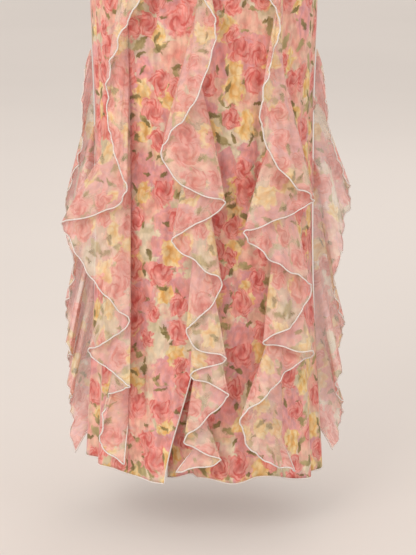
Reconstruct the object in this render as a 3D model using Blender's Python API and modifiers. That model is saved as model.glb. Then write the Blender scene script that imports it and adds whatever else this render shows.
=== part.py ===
"""Maxi dress of printed chiffon, built the way it is cut and sewn.

A slip-style bodice of a front and a back on two straps, a column skirt of eight
gores, and eight cascade ruffles sewn down the skirt seams. Each piece is an open
sheet of cloth, given its wall by Solidify.

Metres, +Z up, the wearer faces -Y. The origin lies midway between the tops of the
two straps, where the wearer's shoulders hold the dress up. Heights are negative,
measured down from there. Angles run round the body from the front centre, positive
towards +X.
"""
import math
from collections import namedtuple

import bmesh
import bpy
import numpy as np

# Driving dimensions.
PANEL_WALL = 0.0012
RUFFLE_WALL = 0.0010
STRAP_WALL = 0.0016
SEAM_GAP = 0.0004
WAIST_HEIGHT = -0.360
STRAP_WIDTH = 0.014
STRAP_TOP = 0.0008
STRAP_SPREAD = 0.082
STRAP_CROWN_BACK = 0.004
STRAP_RISE = 0.8
STRAP_CURVE = 1.25
RUFFLE_WIDTH = 0.205
RUFFLE_TOP_WIDTH = 0.006
RUFFLE_TOP_TAPER = 0.6
RUFFLE_HEM_WIDTH = 0.050
RUFFLE_HEM_TAPER = 1.3
RUFFLE_HEM = -1.310
LEAST_HANG = 0.012
ROLL_PER_FALL = 0.15
ROLL_PER_SWING = 0.05
SEAM_STAND = 0.0016
SEAM_EASING = 6
SEAM_EVENNESS = 0.12
WAIST_RUFFLE_TOP = -0.385
SIDE_RUFFLE_TOP = -0.630

# How finely the sheets are divided.
GORE_COLUMNS = 7
GORE_ROWS = 13
WAIST_CROWDING = 1.35
BODICE_COLUMNS = 14
BODICE_ROWS = 7
STRAP_SPANS = 14
SHORT_SWING_SPANS = 6
LONG_SWING_SPANS = 7
LONG_SWING = 0.085
RUFFLE_STRIPS = (0.0, 0.15, 0.38, 0.68, 1.0)
SPREAD_BOW = 0.15
DROP_BOW = 1.15

# The figure: half width, and half depth to the front and to the back of the side seams.
Section = namedtuple("Section", "height half_width front_depth back_depth")
SECTIONS = [
    Section(-1.360, 0.193, 0.162, 0.160),
    Section(-1.150, 0.184, 0.147, 0.145),
    Section(-0.950, 0.178, 0.134, 0.134),
    Section(-0.750, 0.177, 0.128, 0.130),
    Section(-0.560, 0.182, 0.122, 0.130),
    Section(-0.450, 0.163, 0.112, 0.114),
    Section(-0.360, 0.134, 0.100, 0.095),
    Section(-0.290, 0.141, 0.108, 0.098),
    Section(-0.230, 0.152, 0.124, 0.103),
    Section(-0.190, 0.158, 0.130, 0.105),
    Section(-0.150, 0.156, 0.122, 0.103),
    Section(-0.100, 0.148, 0.104, 0.098),
]
SQUARENESS = 2.3

# Where the skirt seams run, in degrees round the body.
LEFT_SIDE, LEFT_FRONT, CENTRE_FRONT = -88.0, -38.5, -2.5
RIGHT_FRONT, RIGHT_SIDE = 40.0, 88.0
RIGHT_BACK, CENTRE_BACK, LEFT_BACK = 142.0, 180.0, 218.0

# The uneven hem of the skirt.
HemPoint = namedtuple("HemPoint", "angle height")
HEM = [
    HemPoint(-142, -1.334), HemPoint(-115, -1.326), HemPoint(-88, -1.322), HemPoint(-60, -1.319),
    HemPoint(-38, -1.325), HemPoint(-18, -1.331), HemPoint(-2, -1.322), HemPoint(14, -1.331),
    HemPoint(30, -1.326), HemPoint(50, -1.341), HemPoint(70, -1.345), HemPoint(88, -1.340),
    HemPoint(115, -1.330), HemPoint(142, -1.337), HemPoint(165, -1.329), HemPoint(190, -1.338),
    HemPoint(218, -1.334),
]

# The long soft folds of the skirt: each starts at a height and is deepest at the hem.
Fold = namedtuple("Fold", "angle reach depth start")
FOLDS = [
    Fold(-24, 4.5, 0.007, -0.62), Fold(-13, 4.0, 0.005, -0.95), Fold(14, 6.0, 0.007, -0.80),
    Fold(26, 4.5, -0.006, -1.00), Fold(56, 5.0, 0.010, -0.85), Fold(67, 4.5, -0.006, -0.95),
    Fold(76, 5.0, 0.009, -0.90), Fold(-55, 5.0, 0.011, -0.85), Fold(-65, 4.0, -0.006, -1.00),
    Fold(-74, 5.0, 0.010, -0.80), Fold(106, 8.0, 0.013, -0.80), Fold(125, 6.0, 0.010, -0.95),
    Fold(160, 7.0, 0.011, -0.85), Fold(197, 7.0, 0.012, -0.80), Fold(236, 7.0, 0.013, -0.90),
    Fold(254, 7.0, 0.012, -0.80),
]

# The slit under the centre ruffle: the left gore's edge swings away and the right
# gore runs on behind it.
SLIT_TOP = -1.080
SLIT_LENGTH = 0.270
SLIT_SWING = 0.054
SLIT_FLARE = 0.007
UNDERLAP_TOP = -1.115
UNDERLAP_TAPER = 0.120
UNDERLAP_WIDTH = 0.044
UNDERLAP_SINK_TOP = -1.075
UNDERLAP_SINK_LENGTH = 0.220
UNDERLAP_STEP = 0.003
UNDERLAP_RECESS = 0.030
UNDERLAP_BEND = 0.014

# A cascade ruffle's free edge swings from side to side as it falls. Each row is a
# place on that edge: its height, how far it lies sideways along the skirt from the
# seam (towards larger angles), and how far it stands out from the skirt.
Turn = namedtuple("Turn", "height side out")
LEFT_FRONT_TURNS = [
    Turn(-0.440, 0.000, 0.014), Turn(-0.470, -0.030, 0.030), Turn(-0.535, 0.050, 0.042),
    Turn(-0.598, 0.018, 0.045), Turn(-0.727, -0.023, 0.032), Turn(-0.802, 0.001, 0.045),
    Turn(-0.849, 0.018, 0.040), Turn(-0.884, -0.012, 0.047), Turn(-0.922, -0.104, 0.038),
    Turn(-0.980, -0.054, 0.055), Turn(-1.029, 0.003, 0.055), Turn(-1.057, 0.027, 0.045),
    Turn(-1.095, -0.010, 0.050), Turn(-1.119, -0.053, 0.040), Turn(-1.140, -0.014, 0.045),
    Turn(-1.164, 0.031, 0.045), Turn(-1.188, -0.016, 0.036), Turn(-1.220, -0.022, 0.037),
    Turn(-1.264, -0.027, 0.040), Turn(-1.296, 0.018, 0.036),
]
CENTRE_FRONT_TURNS = [
    Turn(-0.440, 0.000, 0.014), Turn(-0.470, -0.044, 0.035), Turn(-0.599, 0.026, 0.036),
    Turn(-0.711, -0.006, 0.050), Turn(-0.790, -0.058, 0.036), Turn(-0.843, -0.019, 0.050),
    Turn(-0.868, 0.042, 0.040), Turn(-0.894, 0.010, 0.045), Turn(-0.928, -0.042, 0.040),
    Turn(-0.968, 0.008, 0.055), Turn(-0.997, 0.037, 0.040), Turn(-1.038, 0.013, 0.045),
    Turn(-1.071, -0.019, 0.040), Turn(-1.096, -0.005, 0.045), Turn(-1.114, 0.044, 0.045),
    Turn(-1.143, -0.013, 0.038), Turn(-1.172, 0.048, 0.045), Turn(-1.205, 0.020, 0.043),
    Turn(-1.250, -0.023, 0.040), Turn(-1.279, 0.036, 0.040), Turn(-1.306, -0.036, 0.020),
]
RIGHT_FRONT_TURNS = [
    Turn(-0.440, 0.000, 0.014), Turn(-0.502, -0.070, 0.035), Turn(-0.600, -0.025, 0.035),
    Turn(-0.665, -0.050, 0.043), Turn(-0.716, -0.060, 0.042), Turn(-0.782, -0.050, 0.048),
    Turn(-0.843, -0.010, 0.055), Turn(-0.874, 0.038, 0.042), Turn(-0.896, -0.037, 0.050),
    Turn(-0.911, -0.095, 0.045), Turn(-0.955, -0.052, 0.058), Turn(-1.020, 0.030, 0.045),
    Turn(-1.063, -0.006, 0.050), Turn(-1.088, -0.063, 0.045), Turn(-1.105, -0.015, 0.050),
    Turn(-1.121, 0.033, 0.045), Turn(-1.141, -0.014, 0.044), Turn(-1.170, -0.063, 0.050),
    Turn(-1.206, -0.112, 0.045), Turn(-1.261, -0.089, 0.050), Turn(-1.309, -0.006, 0.040),
]
LEFT_SIDE_TURNS = [
    Turn(-0.680, 0.008, 0.012), Turn(-0.740, 0.022, 0.017), Turn(-0.800, 0.016, 0.024),
    Turn(-0.870, -0.014, 0.036), Turn(-0.930, -0.050, 0.049), Turn(-0.978, 0.045, 0.034),
    Turn(-1.045, 0.010, 0.038), Turn(-1.104, -0.040, 0.047), Turn(-1.140, 0.042, 0.036),
    Turn(-1.180, -0.040, 0.041), Turn(-1.215, 0.040, 0.033), Turn(-1.255, -0.035, 0.036),
    Turn(-1.318, 0.034, 0.022),
]
RIGHT_SIDE_TURNS = [
    Turn(-0.680, -0.010, 0.012), Turn(-0.740, -0.024, 0.021), Turn(-0.800, -0.016, 0.032),
    Turn(-0.838, -0.002, 0.042), Turn(-0.911, 0.050, 0.063), Turn(-0.955, 0.000, 0.050),
    Turn(-1.004, -0.045, 0.036), Turn(-1.060, -0.010, 0.040), Turn(-1.150, 0.045, 0.043),
    Turn(-1.190, -0.042, 0.034), Turn(-1.230, -0.005, 0.037), Turn(-1.279, 0.040, 0.041),
    Turn(-1.314, -0.030, 0.022),
]
RIGHT_BACK_TURNS = [
    Turn(-0.440, 0.000, 0.014), Turn(-0.485, 0.036, 0.032), Turn(-0.570, -0.048, 0.042),
    Turn(-0.690, 0.030, 0.040), Turn(-0.760, -0.062, 0.038), Turn(-0.850, 0.040, 0.046),
    Turn(-0.890, -0.070, 0.042), Turn(-0.975, 0.028, 0.050), Turn(-1.030, -0.052, 0.040),
    Turn(-1.090, 0.044, 0.045), Turn(-1.125, -0.034, 0.040), Turn(-1.170, 0.036, 0.044),
    Turn(-1.225, -0.060, 0.042), Turn(-1.312, 0.014, 0.038),
]
CENTRE_BACK_TURNS = [
    Turn(-0.440, 0.000, 0.014), Turn(-0.480, -0.034, 0.034), Turn(-0.590, 0.040, 0.040),
    Turn(-0.720, -0.052, 0.038), Turn(-0.815, 0.046, 0.048), Turn(-0.865, -0.056, 0.042),
    Turn(-0.950, 0.038, 0.050), Turn(-0.995, -0.044, 0.040), Turn(-1.070, 0.050, 0.046),
    Turn(-1.110, -0.030, 0.038), Turn(-1.160, 0.046, 0.044), Turn(-1.245, -0.048, 0.044),
    Turn(-1.306, 0.030, 0.032),
]
LEFT_BACK_TURNS = [
    Turn(-0.440, 0.000, 0.014), Turn(-0.475, 0.040, 0.034), Turn(-0.555, -0.036, 0.040),
    Turn(-0.650, 0.052, 0.040), Turn(-0.770, -0.028, 0.038), Turn(-0.835, 0.074, 0.044),
    Turn(-0.925, -0.034, 0.050), Turn(-0.965, 0.060, 0.042), Turn(-1.050, -0.026, 0.046),
    Turn(-1.085, 0.050, 0.040), Turn(-1.150, -0.032, 0.044), Turn(-1.185, 0.038, 0.038),
    Turn(-1.255, 0.056, 0.042), Turn(-1.308, -0.010, 0.036),
]

# The bodice's top edge, low under the arms and highest at the straps.
TopPoint = namedtuple("TopPoint", "angle height")
BODICE_TOP = [
    TopPoint(-90, -0.212), TopPoint(-60, -0.172), TopPoint(-36, -0.126), TopPoint(-18, -0.150),
    TopPoint(0, -0.172), TopPoint(18, -0.150), TopPoint(36, -0.126), TopPoint(60, -0.172),
    TopPoint(90, -0.212), TopPoint(120, -0.206), TopPoint(146, -0.180), TopPoint(180, -0.196),
    TopPoint(214, -0.180), TopPoint(240, -0.206), TopPoint(270, -0.212),
]
STRAP_FRONT_ANGLE = 36.0
STRAP_BACK_ANGLE = 146.0

# Colours and roughness of the cloth.
SKIRT_COLOUR = (0.72, 0.42, 0.36, 1.0)
RUFFLE_COLOUR = (0.80, 0.55, 0.47, 1.0)
BODICE_COLOUR = (0.75, 0.48, 0.41, 1.0)
STRAP_COLOUR = (0.78, 0.52, 0.45, 1.0)
CLOTH_ROUGHNESS = 0.75


def smoothstep(value):
    value = np.clip(value, 0.0, 1.0)
    return value * value * (3.0 - 2.0 * value)


def smooth_curve(knots, values, places):
    """Monotone cubic through the knots: it never swings past a value."""
    knots = np.asarray(knots, float)
    values = np.asarray(values, float)
    steps = np.diff(knots)
    slopes = np.diff(values) / steps
    tangents = np.zeros_like(values)
    for i in range(1, len(values) - 1):
        if slopes[i - 1] * slopes[i] > 0:
            before = 2 * steps[i] + steps[i - 1]
            after = steps[i] + 2 * steps[i - 1]
            tangents[i] = (before + after) / (before / slopes[i - 1] + after / slopes[i])
    tangents[0], tangents[-1] = slopes[0], slopes[-1]
    places = np.clip(places, knots[0], knots[-1])
    span = np.clip(np.searchsorted(knots, places, side="right") - 1, 0, len(steps) - 1)
    t = (places - knots[span]) / steps[span]
    return (
        (1 + 2 * t) * (1 - t) ** 2 * values[span]
        + t * (1 - t) ** 2 * steps[span] * tangents[span]
        + t * t * (3 - 2 * t) * values[span + 1]
        - t * t * (1 - t) * steps[span] * tangents[span + 1]
    )


def section_at(height):
    heights = [row.height for row in SECTIONS]
    width = smooth_curve(heights, [row.half_width for row in SECTIONS], height)
    front = smooth_curve(heights, [row.front_depth for row in SECTIONS], height)
    back = smooth_curve(heights, [row.back_depth for row in SECTIONS], height)
    return float(width), float(front), float(back)


def body_point(angle, height, out=0.0):
    """A point on the dress's smooth form, moved out along the level normal."""
    width, front, back = section_at(height)
    sine, cosine = math.sin(math.radians(angle)), math.cos(math.radians(angle))
    depth = front if cosine >= 0 else back
    radius = (abs(sine) ** SQUARENESS + abs(cosine) ** SQUARENESS) ** (-1 / SQUARENESS)
    x, y = width * sine * radius, -depth * cosine * radius
    slope_x = math.copysign(abs(x / width) ** (SQUARENESS - 1) / width, x)
    slope_y = math.copysign(abs(y / depth) ** (SQUARENESS - 1) / depth, y)
    length = math.hypot(slope_x, slope_y)
    return np.array([x + out * slope_x / length, y + out * slope_y / length, height])


def body_frame(angle, height):
    """Where a seam lies, which way is sideways along the skirt and which way is out."""
    place = body_point(angle, height)
    out = body_point(angle, height, 1.0) - place
    side = np.array([-out[1], out[0], 0.0])
    return place, side, out


def hem_height(angle):
    wrapped = (angle + 142.0) % 360.0 - 142.0
    return float(smooth_curve([p.angle for p in HEM], [p.height for p in HEM], wrapped))


def fold_depth(angle, height):
    """How far the skirt's folds push the cloth out at one place."""
    depth = 0.0
    for fold in FOLDS:
        turned = (angle - fold.angle + 180.0) % 360.0 - 180.0
        fullness = smoothstep((fold.start - height) / (fold.start - SECTIONS[0].height))
        depth += fold.depth * fullness * math.exp(-((turned / fold.reach) ** 2))
    return depth


def degrees_along(distance, height):
    """The angle that a short distance covers on the front of the skirt."""
    return math.degrees(distance / section_at(height)[0])


def slit_swing(height):
    return SLIT_SWING * smoothstep((SLIT_TOP - height) / SLIT_LENGTH)


def underlap_reach(height):
    return UNDERLAP_WIDTH * smoothstep((UNDERLAP_TOP - height) / UNDERLAP_TAPER)


def sheet_of_cloth(name, grid, wall, lean, colour):
    """One sewn piece: a grid of points as an open sheet, thickened by its wall."""
    mesh = bpy.data.meshes.new(name)
    bm = bmesh.new()
    rows = [[bm.verts.new(point) for point in row] for row in grid]
    for upper, lower in zip(rows, rows[1:]):
        for i in range(len(upper) - 1):
            falling = (upper[i].co - lower[i + 1].co).length
            rising = (lower[i].co - upper[i + 1].co).length
            if falling < rising:
                bm.faces.new((upper[i], lower[i], lower[i + 1]))
                bm.faces.new((upper[i], lower[i + 1], upper[i + 1]))
            else:
                bm.faces.new((upper[i], lower[i], upper[i + 1]))
                bm.faces.new((lower[i], lower[i + 1], upper[i + 1]))
    bm.to_mesh(mesh)
    bm.free()
    mesh.shade_smooth()
    piece = bpy.data.objects.new(name, mesh)
    garment.objects.link(piece)
    solidify = piece.modifiers.new("Cloth wall", "SOLIDIFY")
    solidify.thickness = wall
    solidify.offset = lean
    piece.data.materials.append(cloth_material(name + "_cloth", colour))
    return piece


def cloth_material(name, colour):
    material = bpy.data.materials.new(name)
    material.use_nodes = True
    shader = material.node_tree.nodes["Principled BSDF"]
    shader.inputs["Base Color"].default_value = colour
    shader.inputs["Roughness"].default_value = CLOTH_ROUGHNESS
    shader.inputs["Metallic"].default_value = 0.0
    material.diffuse_color = colour
    return material


def skirt_gore(name, start, end, start_moves=None, end_moves=None):
    """One gore from the waist seam to the hem, between two seams of the skirt."""
    grid = []
    for down in np.linspace(0.0, 1.0, GORE_ROWS + 1) ** WAIST_CROWDING:
        row = []
        top = WAIST_HEIGHT - SEAM_GAP / 2
        level = top + down * (hem_height((start + end) / 2) - top)
        gap = degrees_along(SEAM_GAP / 2, level)
        left = start + gap - (degrees_along(start_moves(level), level) if start_moves else 0.0)
        right = end - gap - (degrees_along(end_moves(level), level) if end_moves else 0.0)
        for across in np.linspace(0.0, 1.0, GORE_COLUMNS + 1):
            angle = left + across * (right - left)
            height = top + down * (hem_height(angle) - top)
            out = fold_depth(angle, height)
            if end_moves:
                out += SLIT_FLARE * slit_swing(height) / SLIT_SWING * across ** 4
            if start_moves and angle < start:
                behind = math.radians(start - angle) * section_at(height)[0]
                sink = smoothstep((UNDERLAP_SINK_TOP - height) / UNDERLAP_SINK_LENGTH)
                step = UNDERLAP_STEP + UNDERLAP_RECESS * sink
                out -= step * smoothstep(behind / UNDERLAP_BEND)
            row.append(body_point(angle, height, out))
        grid.append(row)
    return sheet_of_cloth(name, grid, PANEL_WALL, -1.0, SKIRT_COLOUR)


def strip_width(height, top):
    """The ruffle strip's width where its edge has this height: tapered at both ends."""
    from_top = RUFFLE_TOP_WIDTH + RUFFLE_TOP_TAPER * (top - height)
    from_hem = RUFFLE_HEM_WIDTH + RUFFLE_HEM_TAPER * (height - RUFFLE_HEM)
    return np.clip(np.minimum(from_top, from_hem), RUFFLE_TOP_WIDTH, RUFFLE_WIDTH)


def swings_of(sides):
    """Rows where the edge turns back the other way, with the first and the last."""
    steps = np.diff(sides)
    turns = [i + 1 for i in range(len(steps) - 1) if steps[i] * steps[i + 1] < 0]
    return [0] + turns + [len(sides) - 1]


def cascade_ruffle(name, angle, turns, top):
    """A strip sewn down a seam, whose long free edge falls in folds.

    The edge swings between its turns, and rolls over at each one: it comes in a
    little as it turns, so that the strip folds round a soft bend and never creases
    through itself.
    """
    places = np.array([[turn.height, turn.side, turn.out] for turn in turns])
    knots = np.concatenate([[0.0], np.cumsum(np.linalg.norm(np.diff(places, axis=0), axis=1))])
    along, rolls = [], []
    ends = swings_of(places[:, 1])
    falls = -np.diff(places[ends, 0])
    for i, (first, last) in enumerate(zip(ends, ends[1:])):
        length = knots[last] - knots[first]
        spans = LONG_SWING_SPANS if length > LONG_SWING else SHORT_SWING_SPANS
        shares = np.arange(spans) / spans
        swing = abs(places[last, 1] - places[first, 1])
        roll = min(ROLL_PER_FALL * falls[max(i - 1, 0):i + 2].min(), ROLL_PER_SWING * swing)
        along.extend(knots[first] + shares * length)
        rolls.extend(-roll * np.sin(2 * math.pi * shares))
    along, rolls = np.array(along + [knots[-1]]), np.array(rolls + [0.0])
    heights, sides, outs = (smooth_curve(knots, places[:, i], along) for i in range(3))
    outs = outs + rolls
    reach = np.hypot(sides, outs)
    widths = np.maximum(strip_width(heights, top), reach + LEAST_HANG)
    drops = np.sqrt(widths ** 2 - reach ** 2)
    seam_heights = np.minimum.accumulate(np.minimum(heights + drops, top))
    for _ in range(SEAM_EASING):
        seam_heights[1:-1] = (seam_heights[:-2] + 2 * seam_heights[1:-1] + seam_heights[2:]) / 4
    steady = np.interp(along, [0.0, knots[-1]], [seam_heights[0], seam_heights[-1]])
    seam_heights += SEAM_EVENNESS * (steady - seam_heights)
    clear = RUFFLE_WALL / 2 + SEAM_STAND
    grid = []
    for height, side, out, seam in zip(heights, sides, outs, seam_heights):
        row = []
        for v in RUFFLE_STRIPS:
            spread = v * (1.0 + SPREAD_BOW * (1.0 - v))
            level = seam + v ** DROP_BOW * (height - seam)
            foot, sideways, outwards = body_frame(angle, level)
            stand = fold_depth(angle, level) + clear + spread * out
            row.append(foot + spread * side * sideways + stand * outwards)
        grid.append(row)
    return sheet_of_cloth(name, grid, RUFFLE_WALL, 0.0, RUFFLE_COLOUR)


def top_height(angle):
    wrapped = (angle + 90.0) % 360.0 - 90.0
    heights = [p.height for p in BODICE_TOP]
    return float(smooth_curve([p.angle for p in BODICE_TOP], heights, wrapped))


def bodice_half(name, start, end):
    """The front or back of the bodice, from the waist seam up to its top edge."""
    grid = []
    gap = degrees_along(SEAM_GAP / 2, WAIST_HEIGHT)
    for up in np.linspace(1.0, 0.0, BODICE_ROWS + 1):
        row = []
        for angle in np.linspace(start + gap, end - gap, BODICE_COLUMNS + 1):
            low = WAIST_HEIGHT + SEAM_GAP / 2
            height = low + up * (top_height(angle) - low)
            row.append(body_point(angle, height))
        grid.append(row)
    return sheet_of_cloth(name, grid, PANEL_WALL, -1.0, BODICE_COLOUR)


def shoulder_strap(name, sign):
    """A flat strap from the front's top edge over the shoulder to the back's."""
    front = body_point(sign * STRAP_FRONT_ANGLE, top_height(sign * STRAP_FRONT_ANGLE) + SEAM_GAP)
    back = body_point(sign * STRAP_BACK_ANGLE, top_height(sign * STRAP_BACK_ANGLE) + SEAM_GAP)
    crown = np.array([sign * STRAP_SPREAD, STRAP_CROWN_BACK, STRAP_TOP])
    path = []
    for t in np.linspace(0.0, 1.0, STRAP_SPANS + 1):
        turn = math.pi * t
        foot = front if t < 0.5 else back
        rise = math.sin(turn) ** STRAP_RISE
        level = abs(math.cos(turn)) ** STRAP_CURVE
        path.append(np.array([
            crown[0] + (foot[0] - crown[0]) * level,
            crown[1] + (foot[1] - crown[1]) * level,
            foot[2] + (crown[2] - foot[2]) * rise,
        ]))
    grid = []
    for i, centre in enumerate(path):
        ahead = path[min(i + 1, len(path) - 1)] - path[max(i - 1, 0)]
        flat = np.array([1.0, 0.0, 0.0])
        across = flat - ahead * (flat @ ahead) / (ahead @ ahead)
        across /= np.linalg.norm(across)
        grid.append([centre + across * STRAP_WIDTH * share for share in (-0.5, 0.5)])
    return sheet_of_cloth(name, grid, STRAP_WALL, 0.0, STRAP_COLOUR)


for old in list(bpy.data.objects):
    bpy.data.objects.remove(old, do_unlink=True)
garment = bpy.data.collections.new("maxi_dress")
bpy.context.scene.collection.children.link(garment)

bodice_half("bodice_front", -90.0, 90.0)
bodice_half("bodice_back", 90.0, 270.0)
shoulder_strap("strap_left", -1.0)
shoulder_strap("strap_right", 1.0)

skirt_gore("skirt_front_left", LEFT_FRONT, CENTRE_FRONT, end_moves=slit_swing)
skirt_gore("skirt_front_right", CENTRE_FRONT, RIGHT_FRONT, start_moves=underlap_reach)
skirt_gore("skirt_side_front_right", RIGHT_FRONT, RIGHT_SIDE)
skirt_gore("skirt_side_back_right", RIGHT_SIDE, RIGHT_BACK)
skirt_gore("skirt_back_right", RIGHT_BACK, CENTRE_BACK)
skirt_gore("skirt_back_left", CENTRE_BACK, LEFT_BACK)
skirt_gore("skirt_side_back_left", LEFT_BACK, LEFT_SIDE + 360.0)
skirt_gore("skirt_side_front_left", LEFT_SIDE, LEFT_FRONT)

cascade_ruffle("ruffle_left_side", LEFT_SIDE, LEFT_SIDE_TURNS, SIDE_RUFFLE_TOP)
cascade_ruffle("ruffle_left_front", LEFT_FRONT, LEFT_FRONT_TURNS, WAIST_RUFFLE_TOP)
cascade_ruffle("ruffle_centre_front", CENTRE_FRONT, CENTRE_FRONT_TURNS, WAIST_RUFFLE_TOP)
cascade_ruffle("ruffle_right_front", RIGHT_FRONT, RIGHT_FRONT_TURNS, WAIST_RUFFLE_TOP)
cascade_ruffle("ruffle_right_side", RIGHT_SIDE, RIGHT_SIDE_TURNS, SIDE_RUFFLE_TOP)
cascade_ruffle("ruffle_right_back", RIGHT_BACK, RIGHT_BACK_TURNS, WAIST_RUFFLE_TOP)
cascade_ruffle("ruffle_centre_back", CENTRE_BACK, CENTRE_BACK_TURNS, WAIST_RUFFLE_TOP)
cascade_ruffle("ruffle_left_back", LEFT_BACK, LEFT_BACK_TURNS, WAIST_RUFFLE_TOP)
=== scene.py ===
# %% [markdown]
# # A maxi dress of printed chiffon
#
# The dress is a slip bodice on two straps, a narrow column skirt of eight gores, and
# eight long ruffles that fall down the skirt seams. A ruffle of this kind is cut as a
# spiral, so its free edge is much longer than the edge that is sewn down, and the
# spare length falls from side to side in folds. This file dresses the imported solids:
# it makes each piece again as thin, fine cloth, prints flowers on it and rolls its hems.

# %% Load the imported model
import math
from collections import namedtuple

import bpy
import numpy as np
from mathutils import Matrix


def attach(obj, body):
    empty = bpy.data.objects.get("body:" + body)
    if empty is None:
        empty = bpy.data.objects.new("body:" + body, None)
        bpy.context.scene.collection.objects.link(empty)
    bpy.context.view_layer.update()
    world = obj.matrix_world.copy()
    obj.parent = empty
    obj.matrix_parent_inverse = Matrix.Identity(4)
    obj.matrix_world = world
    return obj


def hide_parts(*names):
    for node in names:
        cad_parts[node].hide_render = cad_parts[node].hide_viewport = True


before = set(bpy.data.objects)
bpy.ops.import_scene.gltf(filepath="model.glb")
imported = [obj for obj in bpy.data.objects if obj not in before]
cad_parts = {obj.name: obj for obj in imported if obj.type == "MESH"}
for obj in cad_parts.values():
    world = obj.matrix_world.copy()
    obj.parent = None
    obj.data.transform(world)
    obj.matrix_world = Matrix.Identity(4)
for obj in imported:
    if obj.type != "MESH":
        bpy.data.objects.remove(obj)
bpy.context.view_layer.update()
print("solids:", len(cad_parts))

# %% [markdown]
# ## Camera, floor and light
#
# A long lens from just above the waist keeps the column of the skirt straight. The
# camera looks down a little, so the pale floor fills the whole background, like a paper
# roll in a studio. One wide soft light hangs at the front left, a weaker one fills from
# the right, a third brightens the edges from behind, and a pale world lights the rest,
# because chiffon shows its folds best when no shadow is hard.

# %% Camera and floor
FLOOR_HEIGHT = -1.430
CAMERA_PLACE = (0.0066, -3.2, -0.28)
LOOK_DOWN = 13.15
LENS = 128.6
SENSOR_WIDTH = 36.0

camera_data = bpy.data.cameras.new("studio_camera")
camera_data.lens = LENS
camera_data.sensor_width = SENSOR_WIDTH
camera = bpy.data.objects.new("studio_camera", camera_data)
camera.location = CAMERA_PLACE
camera.rotation_euler = (math.radians(90.0 - LOOK_DOWN), 0.0, 0.0)
bpy.context.scene.collection.objects.link(camera)
bpy.context.scene.camera = camera

FLOOR_REACH = 30.0
floor_mesh = bpy.data.meshes.new("floor")
floor_corners = [(x * FLOOR_REACH, y * FLOOR_REACH, FLOOR_HEIGHT) for x, y in
                 ((-1, -1), (1, -1), (1, 1), (-1, 1))]
floor_mesh.from_pydata(floor_corners, [], [(0, 1, 2, 3)])
floor = bpy.data.objects.new("floor", floor_mesh)
bpy.context.scene.collection.objects.link(floor)
print("floor at", FLOOR_HEIGHT)

# %% Lights
Light = namedtuple("Light", "name size power place aim colour")
LIGHTS = [
    Light("key", 2.2, 88.0, (-1.9, -3.1, 1.7), (0.0, 0.0, -0.75), (1.0, 0.965, 0.93)),
    Light("fill", 2.4, 18.0, (2.8, -2.2, 0.9), (0.0, 0.0, -0.85), (1.0, 0.97, 0.95)),
    Light("rim", 2.0, 30.0, (1.2, 3.2, 1.5), (0.0, 0.0, -0.70), (1.0, 0.98, 0.96)),
]


def soft_light(light):
    """A square area light that faces its aim point."""
    data = bpy.data.lights.new(light.name, "AREA")
    data.size = light.size
    data.energy = light.power
    data.color = light.colour
    lamp = bpy.data.objects.new(light.name, data)
    across, along, up = (a - p for a, p in zip(light.aim, light.place))
    lamp.location = light.place
    tilt = math.atan2(math.hypot(across, along), -up)
    lamp.rotation_euler = (tilt, 0.0, math.atan2(across, -along) + math.pi)
    bpy.context.scene.collection.objects.link(lamp)


for light in LIGHTS:
    soft_light(light)

WORLD_COLOUR = (0.90, 0.87, 0.84, 1.0)
WORLD_STRENGTH = 0.98
world = bpy.data.worlds.new("studio")
world.use_nodes = True
world.node_tree.nodes["Background"].inputs["Color"].default_value = WORLD_COLOUR
world.node_tree.nodes["Background"].inputs["Strength"].default_value = WORLD_STRENGTH
bpy.context.scene.world = world
bpy.context.scene.view_settings.view_transform = "Standard"
print("lights:", len(LIGHTS))

# %% [markdown]
# ## The figure that the dress hangs on
#
# The skirt and bodice follow one smooth form: at each height it is a rounded oblong
# with a half width and a depth to the front and to the back. A few rows give it from
# the hem to the chest, and a monotone curve joins them, which never bulges between
# two rows. A place on the dress is an angle round the body and a height.

# %% The smooth form
Section = namedtuple("Section", "height half_width front_depth back_depth")
SECTIONS = [
    Section(-1.360, 0.193, 0.162, 0.160),
    Section(-1.150, 0.184, 0.147, 0.145),
    Section(-0.950, 0.178, 0.134, 0.134),
    Section(-0.750, 0.177, 0.128, 0.130),
    Section(-0.560, 0.182, 0.122, 0.130),
    Section(-0.450, 0.163, 0.112, 0.114),
    Section(-0.360, 0.134, 0.100, 0.095),
    Section(-0.290, 0.141, 0.108, 0.098),
    Section(-0.230, 0.152, 0.124, 0.103),
    Section(-0.190, 0.158, 0.130, 0.105),
    Section(-0.150, 0.156, 0.122, 0.103),
    Section(-0.100, 0.148, 0.104, 0.098),
]
SQUARENESS = 2.3


def smooth_curve(knots, values, places):
    """Monotone cubic through the knots: it never swings past a value."""
    knots = np.asarray(knots, float)
    values = np.asarray(values, float)
    steps = np.diff(knots)
    slopes = np.diff(values) / steps
    tangents = np.zeros_like(values)
    for i in range(1, len(values) - 1):
        if slopes[i - 1] * slopes[i] > 0:
            before = 2 * steps[i] + steps[i - 1]
            after = steps[i] + 2 * steps[i - 1]
            tangents[i] = (before + after) / (before / slopes[i - 1] + after / slopes[i])
    tangents[0], tangents[-1] = slopes[0], slopes[-1]
    places = np.clip(places, knots[0], knots[-1])
    span = np.clip(np.searchsorted(knots, places, side="right") - 1, 0, len(steps) - 1)
    t = (places - knots[span]) / steps[span]
    return (
        (1 + 2 * t) * (1 - t) ** 2 * values[span]
        + t * (1 - t) ** 2 * steps[span] * tangents[span]
        + t * t * (3 - 2 * t) * values[span + 1]
        - t * t * (1 - t) * steps[span] * tangents[span + 1]
    )


def smoothstep(value):
    value = np.clip(value, 0.0, 1.0)
    return value * value * (3.0 - 2.0 * value)


def section_at(height):
    """Half width, front depth and back depth of the form at these heights."""
    heights, *sizes = zip(*SECTIONS)
    return [smooth_curve(heights, size, height) for size in sizes]


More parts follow.
